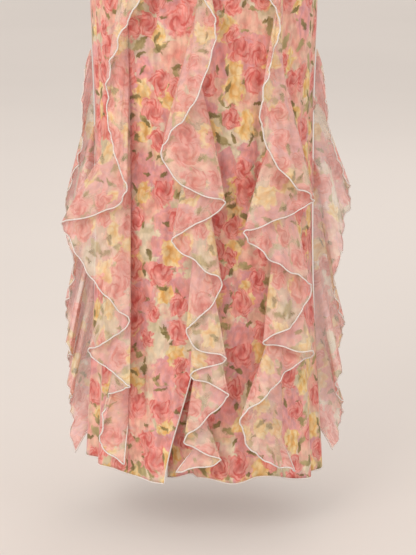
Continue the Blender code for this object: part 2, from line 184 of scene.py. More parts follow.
def body_frame(angle, height):
    """The places on the form, and which ways are sideways along it and out of it."""
    angle, height = np.broadcast_arrays(angle, height)
    width, front, back = section_at(height)
    sine, cosine = np.sin(np.radians(angle)), np.cos(np.radians(angle))
    depth = np.where(cosine >= 0, front, back)
    radius = (np.abs(sine) ** SQUARENESS + np.abs(cosine) ** SQUARENESS) ** (-1 / SQUARENESS)
    x, y = width * sine * radius, -depth * cosine * radius
    out_x = np.sign(x) * np.abs(x / width) ** (SQUARENESS - 1) / width
    out_y = np.sign(y) * np.abs(y / depth) ** (SQUARENESS - 1) / depth
    length = np.hypot(out_x, out_y)
    level = np.zeros_like(x)
    place = np.stack([x, y, height], -1)
    out = np.stack([out_x / length, out_y / length, level], -1)
    side = np.stack([-out_y / length, out_x / length, level], -1)
    return place, side, out


print("form rows:", len(SECTIONS))

# %% [markdown]
# ## Folds and creases of the skirt
#
# The column skirt hangs in a few long flutes that deepen towards the hem. Between
# them, thin cloth that clings to a figure breaks into shallow creases: long ones that
# drag down from the hip and short ones that slant across the knee. Each is one row
# here, with its two ends, its width and its depth. A trough is negative. The sides and
# the back, which the picture hides, get their own uneven set. Beside a sewn seam the
# creases die away, because the seam holds the cloth flat.

# %% Seam lines, hem line and flutes
LEFT_SIDE, LEFT_FRONT, CENTRE_FRONT = -88.0, -38.5, -2.5
RIGHT_FRONT, RIGHT_SIDE = 40.0, 88.0
RIGHT_BACK, CENTRE_BACK, LEFT_BACK = 142.0, 180.0, 218.0

HemPoint = namedtuple("HemPoint", "angle height")
HEM = [
    HemPoint(-142, -1.334), HemPoint(-115, -1.326), HemPoint(-88, -1.322), HemPoint(-60, -1.319),
    HemPoint(-38, -1.325), HemPoint(-18, -1.331), HemPoint(-2, -1.322), HemPoint(14, -1.331),
    HemPoint(30, -1.326), HemPoint(50, -1.341), HemPoint(70, -1.345), HemPoint(88, -1.340),
    HemPoint(115, -1.330), HemPoint(142, -1.337), HemPoint(165, -1.329), HemPoint(190, -1.338),
    HemPoint(218, -1.334),
]
Fold = namedtuple("Fold", "angle reach depth start")
FOLDS = [
    Fold(-24, 4.5, 0.007, -0.62), Fold(-13, 4.0, 0.005, -0.95), Fold(14, 6.0, 0.007, -0.80),
    Fold(26, 4.5, -0.006, -1.00), Fold(56, 5.0, 0.010, -0.85), Fold(67, 4.5, -0.006, -0.95),
    Fold(76, 5.0, 0.009, -0.90), Fold(-55, 5.0, 0.011, -0.85), Fold(-65, 4.0, -0.006, -1.00),
    Fold(-74, 5.0, 0.010, -0.80), Fold(106, 8.0, 0.013, -0.80), Fold(125, 6.0, 0.010, -0.95),
    Fold(160, 7.0, 0.011, -0.85), Fold(197, 7.0, 0.012, -0.80), Fold(236, 7.0, 0.013, -0.90),
    Fold(254, 7.0, 0.012, -0.80),
]


def counted_from(first, angle):
    """The same direction as angle, in the turn that starts at first."""
    return (angle - first) % 360.0 + first


def hem_height(angle):
    angles, heights = zip(*HEM)
    return smooth_curve(angles, heights, counted_from(angles[0], angle))


def turned_by(angle, centre):
    """Degrees from centre to angle, the short way round."""
    return (angle - centre + 180.0) % 360.0 - 180.0


def flute_depth(angle, height):
    """How far the skirt's long flutes push the cloth out."""
    depth = 0.0
    for fold in FOLDS:
        fullness = smoothstep((fold.start - height) / (fold.start - SECTIONS[0].height))
        turned = turned_by(angle, fold.angle)
        depth = depth + fold.depth * fullness * np.exp(-((turned / fold.reach) ** 2))
    return depth


print("flutes:", len(FOLDS))

# %% Creases
Crease = namedtuple("Crease", "angle top end bottom width depth")
SKIRT_CREASES = [
    Crease(-27, -0.45, -26, -1.02, 0.0060, -0.0067), Crease(-19, -0.60, -16, -1.10, 0.0050, -0.0038),
    Crease(-31, -0.62, -29, -0.90, 0.0058, -0.0042), Crease(-12, -0.52, -14, -0.80, 0.0072, -0.0045),
    Crease(-28, -0.86, -12, -0.99, 0.0072, -0.0042), Crease(-33, -1.02, -17, -1.12, 0.0065, -0.0045),
    Crease(-15, -1.02, -24, -1.30, 0.0058, 0.0024), Crease(-31, -1.10, -30, -1.31, 0.0058, -0.0049),
    Crease(-10, -1.12, -13, -1.31, 0.0050, -0.0038), Crease(7, -0.50, 9, -0.88, 0.0065, -0.0049),
    Crease(15, -0.58, 18, -1.02, 0.0058, -0.0042), Crease(23, -0.48, 21, -0.76, 0.0072, -0.0045),
    Crease(30, -0.66, 27, -1.00, 0.0058, -0.0045), Crease(6, -0.92, 24, -1.04, 0.0072, -0.0042),
    Crease(12, -1.05, 10, -1.30, 0.0058, -0.0045), Crease(20, -1.08, 31, -1.21, 0.0065, 0.0022),
    Crease(33, -1.05, 34, -1.31, 0.0050, -0.0042), Crease(3, -1.14, 5, -1.31, 0.0050, 0.0019),
    Crease(-47, -0.50, -50, -1.00, 0.0072, -0.0053), Crease(-57, -0.70, -60, -1.20, 0.0065, -0.0045),
    Crease(-70, -0.48, -69, -0.92, 0.0072, -0.0049), Crease(-80, -0.80, -81, -1.26, 0.0058, -0.0042),
    Crease(49, -0.52, 48, -0.98, 0.0065, -0.0045), Crease(61, -0.66, 62, -1.24, 0.0072, -0.0053),
    Crease(72, -0.50, 71, -0.86, 0.0065, -0.0042), Crease(81, -0.90, 80, -1.30, 0.0058, -0.0045),
    Crease(97, -0.50, 99, -0.95, 0.0072, -0.0049), Crease(112, -0.60, 115, -1.15, 0.0065, -0.0049),
    Crease(131, -0.48, 129, -0.84, 0.0072, -0.0045), Crease(135, -0.92, 120, -1.06, 0.0072, -0.0042),
    Crease(150, -0.55, 152, -1.05, 0.0065, -0.0049), Crease(166, -0.46, 163, -0.78, 0.0072, -0.0045),
    Crease(172, -0.98, 154, -1.14, 0.0072, -0.0042), Crease(189, -0.52, 190, -0.96, 0.0065, -0.0049),
    Crease(205, -0.60, 202, -1.18, 0.0065, -0.0045), Crease(211, -0.94, 194, -1.08, 0.0072, -0.0042),
    Crease(228, -0.50, 230, -0.90, 0.0072, -0.0049), Crease(245, -0.64, 243, -1.20, 0.0065, -0.0049),
    Crease(262, -0.48, 261, -0.94, 0.0072, -0.0045), Crease(258, -1.00, 238, -1.12, 0.0072, -0.0042),
]
CREASE_FADE = 0.16
BODY_RADIUS = 0.15


def metres_per_degree(height):
    return math.radians(1.0) * section_at(height)[0]


def crease_depth(creases, angle, height):
    """The sum of all creases at these places; each fades out towards its two ends."""
    metres = metres_per_degree(height)
    depth = 0.0
    for crease in creases:
        down = (crease.top - height) / (crease.top - crease.bottom)
        line = crease.angle + (crease.end - crease.angle) * np.clip(down, 0.0, 1.0)
        slant = (crease.end - crease.angle) * math.radians(1.0) * BODY_RADIUS
        lean = math.hypot(1.0, slant / (crease.top - crease.bottom))
        away = turned_by(angle, line) * metres / (crease.width * lean)
        ends = smoothstep(down / CREASE_FADE) * smoothstep((1.0 - down) / CREASE_FADE)
        depth = depth + crease.depth * ends * np.exp(-away ** 2)
    return depth


SEAMS = (LEFT_SIDE, LEFT_FRONT, CENTRE_FRONT, RIGHT_FRONT,
         RIGHT_SIDE, RIGHT_BACK, CENTRE_BACK, LEFT_BACK)
SEAM_CALM = 0.012


def skirt_relief(angle, height):
    """Flutes and creases together. The creases die away beside each sewn seam."""
    metres = metres_per_degree(height)
    calm = 1.0
    for seam in SEAMS:
        calm = calm * smoothstep(np.abs(turned_by(angle, seam)) * metres / SEAM_CALM)
    return flute_depth(angle, height) + calm * crease_depth(SKIRT_CREASES, angle, height)


print("creases:", len(SKIRT_CREASES))

# %% [markdown]
# ## From a grid of points to a piece of cloth
#
# Every piece of the dress is one sheet, so it starts as a grid of points. The sheet
# keeps where each point lay on the flat cloth, in metres, as its UV map. A print
# drawn in those metres then stays at its real size and bends with the cloth. Solidify
# gives the sheet its thickness: inwards from the points of the skirt and the bodice, so
# they lie on the form, and both ways from those of a ruffle or a strap.

# %% Sheets
SHEET_WALL = 0.0006
INWARDS, BOTH_WAYS = -1.0, 0.0
CLOTH_MAP = "flat_cloth"
pieces = {}


def cloth_sheet(name, points, flat, lean, wall=SHEET_WALL):
    """A grid of points (rows, columns, 3) as a sheet, with its flat places (…, 2).

    lean says which way the wall grows from the points.
    """
    rows, columns = points.shape[:2]
    mesh = bpy.data.meshes.new(name + "_cloth")
    index = np.arange(rows * columns).reshape(rows, columns)
    faces = np.stack([index[:-1, :-1], index[1:, :-1], index[1:, 1:], index[:-1, 1:]], -1)
    faces = faces.reshape(-1, 4)
    mesh.from_pydata(points.reshape(-1, 3).tolist(), [], faces.tolist())
    layer = mesh.uv_layers.new(name=CLOTH_MAP)
    layer.data.foreach_set("uv", flat.reshape(-1, 2)[faces.ravel()].ravel())
    mesh.shade_smooth()
    piece = bpy.data.objects.new(name + "_cloth", mesh)
    bpy.context.scene.collection.objects.link(piece)
    solidify = piece.modifiers.new("Cloth wall", "SOLIDIFY")
    solidify.thickness = wall
    solidify.offset = lean
    pieces[name] = piece


def widest_row(points):
    """The widest row across a grid, in metres, measured level."""
    return float(np.linalg.norm(np.diff(points[..., :2], axis=1), axis=-1).sum(axis=1).max())


def sheet_area(points):
    """The area of a grid's faces, in square metres."""
    first = points[1:, 1:] - points[:-1, :-1]
    second = points[1:, :-1] - points[:-1, 1:]
    return float(np.linalg.norm(np.cross(first, second), axis=-1).sum() / 2)


HEM_SIDES = 6
HEM_RADIUS = 0.00115
NO_HEM_STARTS_THIS_WAY = (0.3, 0.2, 1.0)


def rolled_hem(name, path):
    """A thread-covered roll along an edge: a thin tube swept along the path."""
    ahead = np.gradient(path, axis=0)
    ahead /= np.linalg.norm(ahead, axis=1, keepdims=True)
    normal = np.cross(ahead[0], NO_HEM_STARTS_THIS_WAY)
    rings = []
    for point, way in zip(path, ahead):
        normal = normal - way * (normal @ way)
        normal /= np.linalg.norm(normal)
        other = np.cross(way, normal)
        turn = np.linspace(0.0, 2 * math.pi, HEM_SIDES, endpoint=False)[:, None]
        rings.append(point + HEM_RADIUS * (np.cos(turn) * normal + np.sin(turn) * other))
    count = len(rings)
    mesh = bpy.data.meshes.new(name)
    index = np.arange(count * HEM_SIDES).reshape(count, HEM_SIDES)
    following = np.roll(index, -1, axis=1)
    faces = np.stack([index[:-1], following[:-1], following[1:], index[1:]], -1)
    faces = faces.reshape(-1, 4).tolist()
    faces += [index[0, ::-1].tolist(), index[-1].tolist()]
    mesh.from_pydata(np.concatenate(rings).tolist(), [], faces)
    length = np.concatenate([[0.0], np.cumsum(np.linalg.norm(np.diff(path, axis=0), axis=1))])
    layer = mesh.uv_layers.new(name=CLOTH_MAP)
    around = np.arange(HEM_SIDES + 1) * 2 * math.pi * HEM_RADIUS / HEM_SIDES
    flat = []
    for i in range(count - 1):
        for k in range(HEM_SIDES):
            flat += [(length[i], around[k]), (length[i], around[k + 1])]
            flat += [(length[i + 1], around[k + 1]), (length[i + 1], around[k])]
    flat += [(0.0, 0.0)] * HEM_SIDES + [(length[-1], 0.0)] * HEM_SIDES
    layer.data.foreach_set("uv", np.array(flat).ravel())
    mesh.shade_smooth()
    piece = bpy.data.objects.new(name, mesh)
    bpy.context.scene.collection.objects.link(piece)
    pieces[name] = piece


# %% [markdown]
# ## The skirt
#
# Eight gores hang from the waist. The front left gore is free below the knee: its edge
# swings away, which opens the slit, and the front right gore runs on behind it. The
# same formula as the solids gives the big form, with the creases added, on a grid of
# about 5 mm. Behind the slit the sheet reaches 12 mm further than its solid and lies
# 6 mm less deep, so that no floor shows between the two layers.

# %% The gores
WAIST_HEIGHT = -0.360
SEAM_GAP = 0.0004
WAIST_CROWDING = 1.35
GORE_ROWS = 190
GORE_COLUMNS = 26
PRINT_RADIUS = 0.178

SLIT_TOP = -1.080
SLIT_LENGTH = 0.270
SLIT_SWING = 0.054
SLIT_FLARE = 0.007
SLIT_FLARE_POWER = 4
UNDERLAP_TOP = -1.115
UNDERLAP_TAPER = 0.120
UNDERLAP_WIDTH = 0.056
UNDERLAP_SINK_TOP = -1.075
UNDERLAP_SINK_LENGTH = 0.220
UNDERLAP_STEP = 0.003
UNDERLAP_RECESS = 0.024
UNDERLAP_BEND = 0.014


def degrees_along(distance, height):
    return np.degrees(distance / section_at(height)[0])


def slit_swing(height):
    return SLIT_SWING * smoothstep((SLIT_TOP - height) / SLIT_LENGTH)


def underlap_reach(height):
    return UNDERLAP_WIDTH * smoothstep((UNDERLAP_TOP - height) / UNDERLAP_TAPER)


def cut_place(angle, middle, height):
    """Metres across the print: each piece is cut from the cloth round its own middle."""
    across = np.radians(angle - middle) * section_at(height)[0]
    return math.radians(middle) * PRINT_RADIUS + across


def skirt_gore(name, start, end, slit, underlap):
    top = WAIST_HEIGHT - SEAM_GAP / 2
    down = np.linspace(0.0, 1.0, GORE_ROWS + 1)[:, None] ** WAIST_CROWDING
    across = np.linspace(0.0, 1.0, GORE_COLUMNS + 1)[None, :]
    level = top + down * (hem_height((start + end) / 2) - top)
    gap = degrees_along(SEAM_GAP / 2, level)
    left = start + gap - (degrees_along(underlap_reach(level), level) if underlap else 0.0)
    right = end - gap - (degrees_along(slit_swing(level), level) if slit else 0.0)
    angle = left + across * (right - left)
    height = top + down * (hem_height(angle) - top)
    out = skirt_relief(angle, height)
    if slit:
        out = out + SLIT_FLARE * slit_swing(height) / SLIT_SWING * across ** SLIT_FLARE_POWER
    if underlap:
        behind = np.radians(np.maximum(start - angle, 0.0)) * section_at(height)[0]
        sink = smoothstep((UNDERLAP_SINK_TOP - height) / UNDERLAP_SINK_LENGTH)
        out = out - (UNDERLAP_STEP + UNDERLAP_RECESS * sink) * smoothstep(behind / UNDERLAP_BEND)
    place, _, outwards = body_frame(angle, height)
    points = place + out[..., None] * outwards
    flat = np.stack([cut_place(angle, (start + end) / 2, height), height], -1)
    cloth_sheet(name, points, flat, INWARDS)
    edge = points[-1]
    if slit:
        free = level[:, 0] < SLIT_TOP
        edge = np.concatenate([points[-1, :-1], points[free, -1][::-1]])
    if underlap:
        free = level[:, 0] < UNDERLAP_TOP
        edge = np.concatenate([points[free, 0], points[-1, 1:]])
    rolled_hem(name + "_hem", edge)
    return widest_row(points), float(top - height[-1].min()), sheet_area(points)


Gore = namedtuple("Gore", "name start end slit underlap")
GORES = [
    Gore("skirt_front_left", LEFT_FRONT, CENTRE_FRONT, True, False),
    Gore("skirt_front_right", CENTRE_FRONT, RIGHT_FRONT, False, True),
    Gore("skirt_side_front_right", RIGHT_FRONT, RIGHT_SIDE, False, False),
    Gore("skirt_side_back_right", RIGHT_SIDE, RIGHT_BACK, False, False),
    Gore("skirt_back_right", RIGHT_BACK, CENTRE_BACK, False, False),
    Gore("skirt_back_left", CENTRE_BACK, LEFT_BACK, False, False),
    Gore("skirt_side_back_left", LEFT_BACK, LEFT_SIDE + 360.0, False, False),
    Gore("skirt_side_front_left", LEFT_SIDE, LEFT_FRONT, False, False),
]
flat_sizes = {}
for gore in GORES:
    flat_sizes[gore.name] = skirt_gore(*gore)
    print(gore.name, "width, length, area:", [round(x, 3) for x in flat_sizes[gore.name]])

# %% [markdown]
# ## The cascade ruffles
#
# The free edge of a cascade ruffle swings from side to side as it falls, and at each
# turn it rolls over, so one leg hangs in front of the next. A table gives the places
# where the edge turns, and the places it passes on the way. Straight rulings join the
# edge to the seam above it. Fine ripples then run along the rulings, strongest at the
# edge, because the rolled hem is a little longer than the cloth it holds. To print it,
# the strip is unrolled flat one triangle after the other, which keeps every flower at
# its real size, also where the rulings slant.

# %% Where each edge falls
Turn = namedtuple("Turn", "height side out")
LEFT_FRONT_TURNS = [
    Turn(-0.440, 0.000, 0.014), Turn(-0.470, -0.030, 0.030), Turn(-0.535, 0.050, 0.042),
    Turn(-0.598, 0.018, 0.045), Turn(-0.727, -0.023, 0.032), Turn(-0.802, 0.001, 0.045),
    Turn(-0.849, 0.018, 0.040), Turn(-0.884, -0.012, 0.047), Turn(-0.922, -0.104, 0.038),
    Turn(-0.980, -0.054, 0.055), Turn(-1.029, 0.003, 0.055), Turn(-1.057, 0.027, 0.045),
    Turn(-1.095, -0.010, 0.050), Turn(-1.119, -0.053, 0.040), Turn(-1.140, -0.014, 0.045),
    Turn(-1.164, 0.031, 0.045), Turn(-1.188, -0.016, 0.036), Turn(-1.220, -0.022, 0.037),
    Turn(-1.264, -0.027, 0.040), Turn(-1.296, 0.018, 0.036),
]
CENTRE_FRONT_TURNS = [
    Turn(-0.440, 0.000, 0.014), Turn(-0.470, -0.044, 0.035), Turn(-0.599, 0.026, 0.036),
    Turn(-0.711, -0.006, 0.050), Turn(-0.790, -0.058, 0.036), Turn(-0.843, -0.019, 0.050),
    Turn(-0.868, 0.042, 0.040), Turn(-0.894, 0.010, 0.045), Turn(-0.928, -0.042, 0.040),
    Turn(-0.968, 0.008, 0.055), Turn(-0.997, 0.037, 0.040), Turn(-1.038, 0.013, 0.045),
    Turn(-1.071, -0.019, 0.040), Turn(-1.096, -0.005, 0.045), Turn(-1.114, 0.044, 0.045),
    Turn(-1.143, -0.013, 0.038), Turn(-1.172, 0.048, 0.045), Turn(-1.205, 0.020, 0.043),
    Turn(-1.250, -0.023, 0.040), Turn(-1.279, 0.036, 0.040), Turn(-1.306, -0.036, 0.020),
]
RIGHT_FRONT_TURNS = [
    Turn(-0.440, 0.000, 0.014), Turn(-0.502, -0.070, 0.035), Turn(-0.600, -0.025, 0.035),
    Turn(-0.665, -0.050, 0.043), Turn(-0.716, -0.060, 0.042), Turn(-0.782, -0.050, 0.048),
    Turn(-0.843, -0.010, 0.055), Turn(-0.874, 0.038, 0.042), Turn(-0.896, -0.037, 0.050),
    Turn(-0.911, -0.095, 0.045), Turn(-0.955, -0.052, 0.058), Turn(-1.020, 0.030, 0.045),
    Turn(-1.063, -0.006, 0.050), Turn(-1.088, -0.063, 0.045), Turn(-1.105, -0.015, 0.050),
    Turn(-1.121, 0.033, 0.045), Turn(-1.141, -0.014, 0.044), Turn(-1.170, -0.063, 0.050),
    Turn(-1.206, -0.112, 0.045), Turn(-1.261, -0.089, 0.050), Turn(-1.309, -0.006, 0.040),
]
LEFT_SIDE_TURNS = [
    Turn(-0.680, 0.008, 0.012), Turn(-0.740, 0.022, 0.017), Turn(-0.800, 0.016, 0.024),
    Turn(-0.870, -0.014, 0.036), Turn(-0.930, -0.050, 0.049), Turn(-0.978, 0.045, 0.034),
    Turn(-1.045, 0.010, 0.038), Turn(-1.104, -0.040, 0.047), Turn(-1.140, 0.042, 0.036),
    Turn(-1.180, -0.040, 0.041), Turn(-1.215, 0.040, 0.033), Turn(-1.255, -0.035, 0.036),
    Turn(-1.318, 0.034, 0.022),
]
RIGHT_SIDE_TURNS = [
    Turn(-0.680, -0.010, 0.012), Turn(-0.740, -0.024, 0.021), Turn(-0.800, -0.016, 0.032),
    Turn(-0.838, -0.002, 0.042), Turn(-0.911, 0.050, 0.063), Turn(-0.955, 0.000, 0.050),
    Turn(-1.004, -0.045, 0.036), Turn(-1.060, -0.010, 0.040), Turn(-1.150, 0.045, 0.043),
    Turn(-1.190, -0.042, 0.034), Turn(-1.230, -0.005, 0.037), Turn(-1.279, 0.040, 0.041),
    Turn(-1.314, -0.030, 0.022),
]
RIGHT_BACK_TURNS = [
    Turn(-0.440, 0.000, 0.014), Turn(-0.485, 0.036, 0.032), Turn(-0.570, -0.048, 0.042),
    Turn(-0.690, 0.030, 0.040), Turn(-0.760, -0.062, 0.038), Turn(-0.850, 0.040, 0.046),
    Turn(-0.890, -0.070, 0.042), Turn(-0.975, 0.028, 0.050), Turn(-1.030, -0.052, 0.040),
    Turn(-1.090, 0.044, 0.045), Turn(-1.125, -0.034, 0.040), Turn(-1.170, 0.036, 0.044),
    Turn(-1.225, -0.060, 0.042), Turn(-1.312, 0.014, 0.038),
]
CENTRE_BACK_TURNS = [
    Turn(-0.440, 0.000, 0.014), Turn(-0.480, -0.034, 0.034), Turn(-0.590, 0.040, 0.040),
    Turn(-0.720, -0.052, 0.038), Turn(-0.815, 0.046, 0.048), Turn(-0.865, -0.056, 0.042),
    Turn(-0.950, 0.038, 0.050), Turn(-0.995, -0.044, 0.040), Turn(-1.070, 0.050, 0.046),
    Turn(-1.110, -0.030, 0.038), Turn(-1.160, 0.046, 0.044), Turn(-1.245, -0.048, 0.044),
    Turn(-1.306, 0.030, 0.032),
]
LEFT_BACK_TURNS = [
    Turn(-0.440, 0.000, 0.014), Turn(-0.475, 0.040, 0.034), Turn(-0.555, -0.036, 0.040),
    Turn(-0.650, 0.052, 0.040), Turn(-0.770, -0.028, 0.038), Turn(-0.835, 0.074, 0.044),
    Turn(-0.925, -0.034, 0.050), Turn(-0.965, 0.060, 0.042), Turn(-1.050, -0.026, 0.046),
    Turn(-1.085, 0.050, 0.040), Turn(-1.150, -0.032, 0.044), Turn(-1.185, 0.038, 0.038),
    Turn(-1.255, 0.056, 0.042), Turn(-1.308, -0.010, 0.036),
]

# %% The edge and the seam of a ruffle
RUFFLE_WIDTH = 0.205
RUFFLE_TOP_WIDTH = 0.006
RUFFLE_TOP_TAPER = 0.6
RUFFLE_HEM_WIDTH = 0.050
RUFFLE_HEM_TAPER = 1.3
RUFFLE_HEM = -1.310
LEAST_HANG = 0.012
ROLL_PER_FALL = 0.15
ROLL_PER_SWING = 0.05
SEAM_STAND = 0.0021
SEAM_EASING = 6
SEAM_EVENNESS = 0.12
SHORT_SWING_SPANS = 6
LONG_SWING_SPANS = 7
LONG_SWING = 0.085


def strip_width(height, top):
    from_top = RUFFLE_TOP_WIDTH + RUFFLE_TOP_TAPER * (top - height)
    from_hem = RUFFLE_HEM_WIDTH + RUFFLE_HEM_TAPER * (height - RUFFLE_HEM)
    return np.clip(np.minimum(from_top, from_hem), RUFFLE_TOP_WIDTH, RUFFLE_WIDTH)


def ruffle_edge(turns, top):
    """Rows of (distance along the edge, height, side, out, height of the seam)."""
    places = np.array(turns)
    knots = np.concatenate([[0.0], np.cumsum(np.linalg.norm(np.diff(places, axis=0), axis=1))])
    steps = np.diff(places[:, 1])
    turning = [i + 1 for i in range(len(steps) - 1) if steps[i] * steps[i + 1] < 0]
    ends = [0] + turning + [len(places) - 1]
    falls = -np.diff(places[ends, 0])
    along, rolls = [], []
    for i, (first, last) in enumerate(zip(ends, ends[1:])):
        length = knots[last] - knots[first]
        spans = LONG_SWING_SPANS if length > LONG_SWING else SHORT_SWING_SPANS
        shares = np.arange(spans) / spans
        swing = abs(places[last, 1] - places[first, 1])
        roll = min(ROLL_PER_FALL * falls[max(i - 1, 0):i + 2].min(), ROLL_PER_SWING * swing)
        along.extend(knots[first] + shares * length)
        rolls.extend(-roll * np.sin(2 * math.pi * shares))
    along, rolls = np.array(along + [knots[-1]]), np.array(rolls + [0.0])
    heights, sides, outs = (smooth_curve(knots, places[:, i], along) for i in range(3))
    outs = outs + rolls
    reach = np.hypot(sides, outs)
    widths = np.maximum(strip_width(heights, top), reach + LEAST_HANG)
    seams = np.minimum.accumulate(np.minimum(heights + np.sqrt(widths ** 2 - reach ** 2), top))
    for _ in range(SEAM_EASING):
        seams[1:-1] = (seams[:-2] + 2 * seams[1:-1] + seams[2:]) / 4
    steady = np.interp(along, [0.0, knots[-1]], [seams[0], seams[-1]])
    seams += SEAM_EVENNESS * (steady - seams)
    return along, heights, sides, outs, seams, knots[ends]


# %% The ruffle sheet
EDGE_STEPS = 5
RUFFLE_COLUMNS = 22
SPREAD_BOW = 0.15
DROP_BOW = 1.15
RIPPLE = 0.0015
RIPPLE_POWER = 1.6
FINER_RIPPLE = 2.2
FINER_RIPPLE_SHARE = 0.5
FINER_RIPPLE_SHIFT = 1.1
EDGE_WANDER = 0.0020
EDGE_WANDER_POWER = 3
EDGE_WANDER_LENGTH = 0.047
EDGE_WANDER_DRIFT = 0.06
SOFT_FOLD = 0.0030
SOFT_FOLD_LENGTH = 0.071
SOFT_FOLD_BEAT = 0.113
CALM_TURN = 0.014
TINY = 1e-12


def beside(first, second, from_first, from_second):
    """The flat point at these two distances, always on the same side of first to second."""
    gap = math.dist(first, second)
    way = (second - first) / gap
    along = (from_first ** 2 - from_second ** 2 + gap ** 2) / (2 * gap)
    aside = math.sqrt(max(from_first ** 2 - along ** 2, 0.0))
    return first + along * way + aside * np.array([-way[1], way[0]])


def flat_strip(points):
    """Unrolls the strip: the two triangles between neighbour rulings are laid side by side."""
    seam, edge = points[:, 0], points[:, -1]
    flat_seam = [np.zeros(2)]
    flat_edge = [np.array([0.0, -math.dist(seam[0], edge[0])])]
    for i in range(1, len(points)):
        sewn = beside(flat_seam[-1], flat_edge[-1],
                      math.dist(seam[i], seam[i - 1]), math.dist(seam[i], edge[i - 1]))
        free = beside(sewn, flat_edge[-1],
                      math.dist(edge[i], seam[i]), math.dist(edge[i], edge[i - 1]))
        flat_seam.append(sewn)
        flat_edge.append(free)
    start, end = np.array(flat_seam), np.array(flat_edge)
    reach = np.linalg.norm(points - points[:, :1], axis=-1)
    share = reach / np.linalg.norm(edge - seam, axis=1)[:, None]
    return start[:, None] + share[..., None] * (end - start)[:, None]


def cascade_ruffle(name, angle, turns, top, ripple_length):
    along, heights, sides, outs, seams, ends = ruffle_edge(turns, top)
    spans = zip(along, along[1:])
    fine = np.concatenate([np.linspace(a, b, EDGE_STEPS, endpoint=False) for a, b in spans])
    fine = np.append(fine, along[-1])
    height, side, out, seam = (
        smooth_curve(along, values, fine)[:, None] for values in (heights, sides, outs, seams)
    )
    v = np.linspace(0.0, 1.0, RUFFLE_COLUMNS + 1)[None, :]
    spread = v * (1.0 + SPREAD_BOW * (1.0 - v))
    level = seam + v ** DROP_BOW * (height - seam)
    foot, sideways, outwards = body_frame(angle, level)
    stand = flute_depth(angle, level) + SEAM_STAND + spread * out
    points = foot + (spread * side)[..., None] * sideways + stand[..., None] * outwards
    normal = np.cross(np.gradient(points, axis=0), np.gradient(points, axis=1))
    normal /= np.maximum(np.linalg.norm(normal, axis=-1, keepdims=True), TINY)
    calm = smoothstep(np.abs(fine[:, None] - ends[None, :]).min(axis=1) / CALM_TURN)
    finer = np.sin(2 * math.pi * FINER_RIPPLE * fine / ripple_length + FINER_RIPPLE_SHIFT)
    wave = np.sin(2 * math.pi * fine / ripple_length) + FINER_RIPPLE_SHARE * finer
    swell = np.sin(2 * math.pi * fine / SOFT_FOLD_LENGTH + angle)
    swell = swell * np.cos(2 * math.pi * fine / SOFT_FOLD_BEAT)
    relief = (calm * wave)[:, None] * RIPPLE * v ** RIPPLE_POWER
    relief = relief + (calm * swell)[:, None] * SOFT_FOLD * v
    points = points + relief[..., None] * normal
    ruling = points[:, -1] - points[:, -2]
    ruling /= np.linalg.norm(ruling, axis=1, keepdims=True)
    drift = 2 * np.sin(fine / EDGE_WANDER_DRIFT)
    wander = calm * np.sin(2 * math.pi * fine / EDGE_WANDER_LENGTH + drift)
    wander = wander[:, None] * v ** EDGE_WANDER_POWER
    points = points + EDGE_WANDER * wander[..., None] * ruling[:, None]
    cloth_sheet(name, points, flat_strip(points), BOTH_WAYS)
    rolled_hem(name + "_hem", np.concatenate([points[:, -1], points[-1, -2::-1]]))
    edge_length = float(np.linalg.norm(np.diff(points[:, -1], axis=0), axis=1).sum())
    return RUFFLE_WIDTH, edge_length, sheet_area(points)


WAIST_RUFFLE_TOP = -0.385
SIDE_RUFFLE_TOP = -0.630
Ruffle = namedtuple("Ruffle", "name angle turns top ripple_length")
RUFFLES = [
    Ruffle("ruffle_left_side", LEFT_SIDE, LEFT_SIDE_TURNS, SIDE_RUFFLE_TOP, 0.034),
    Ruffle("ruffle_left_front", LEFT_FRONT, LEFT_FRONT_TURNS, WAIST_RUFFLE_TOP, 0.038),
    Ruffle("ruffle_centre_front", CENTRE_FRONT, CENTRE_FRONT_TURNS, WAIST_RUFFLE_TOP, 0.033),
    Ruffle("ruffle_right_front", RIGHT_FRONT, RIGHT_FRONT_TURNS, WAIST_RUFFLE_TOP, 0.036),
    Ruffle("ruffle_right_side", RIGHT_SIDE, RIGHT_SIDE_TURNS, SIDE_RUFFLE_TOP, 0.037),
    Ruffle("ruffle_right_back", RIGHT_BACK, RIGHT_BACK_TURNS, WAIST_RUFFLE_TOP, 0.035),
    Ruffle("ruffle_centre_back", CENTRE_BACK, CENTRE_BACK_TURNS, WAIST_RUFFLE_TOP, 0.039),
    Ruffle("ruffle_left_back", LEFT_BACK, LEFT_BACK_TURNS, WAIST_RUFFLE_TOP, 0.032),
]
for ruffle in RUFFLES:
    flat_sizes[ruffle.name] = cascade_ruffle(*ruffle)
    print(ruffle.name, "width, edge, area:", [round(x, 3) for x in flat_sizes[ruffle.name]])

# %% [markdown]
# ## Bodice and straps
#
# The bodice is a plain slip top: a front and a back that meet at the sides, with a
# narrow rolled edge at the neck and arms. A few creases fan out below the bust, where
# the cloth is eased in. The straps are folded bands.

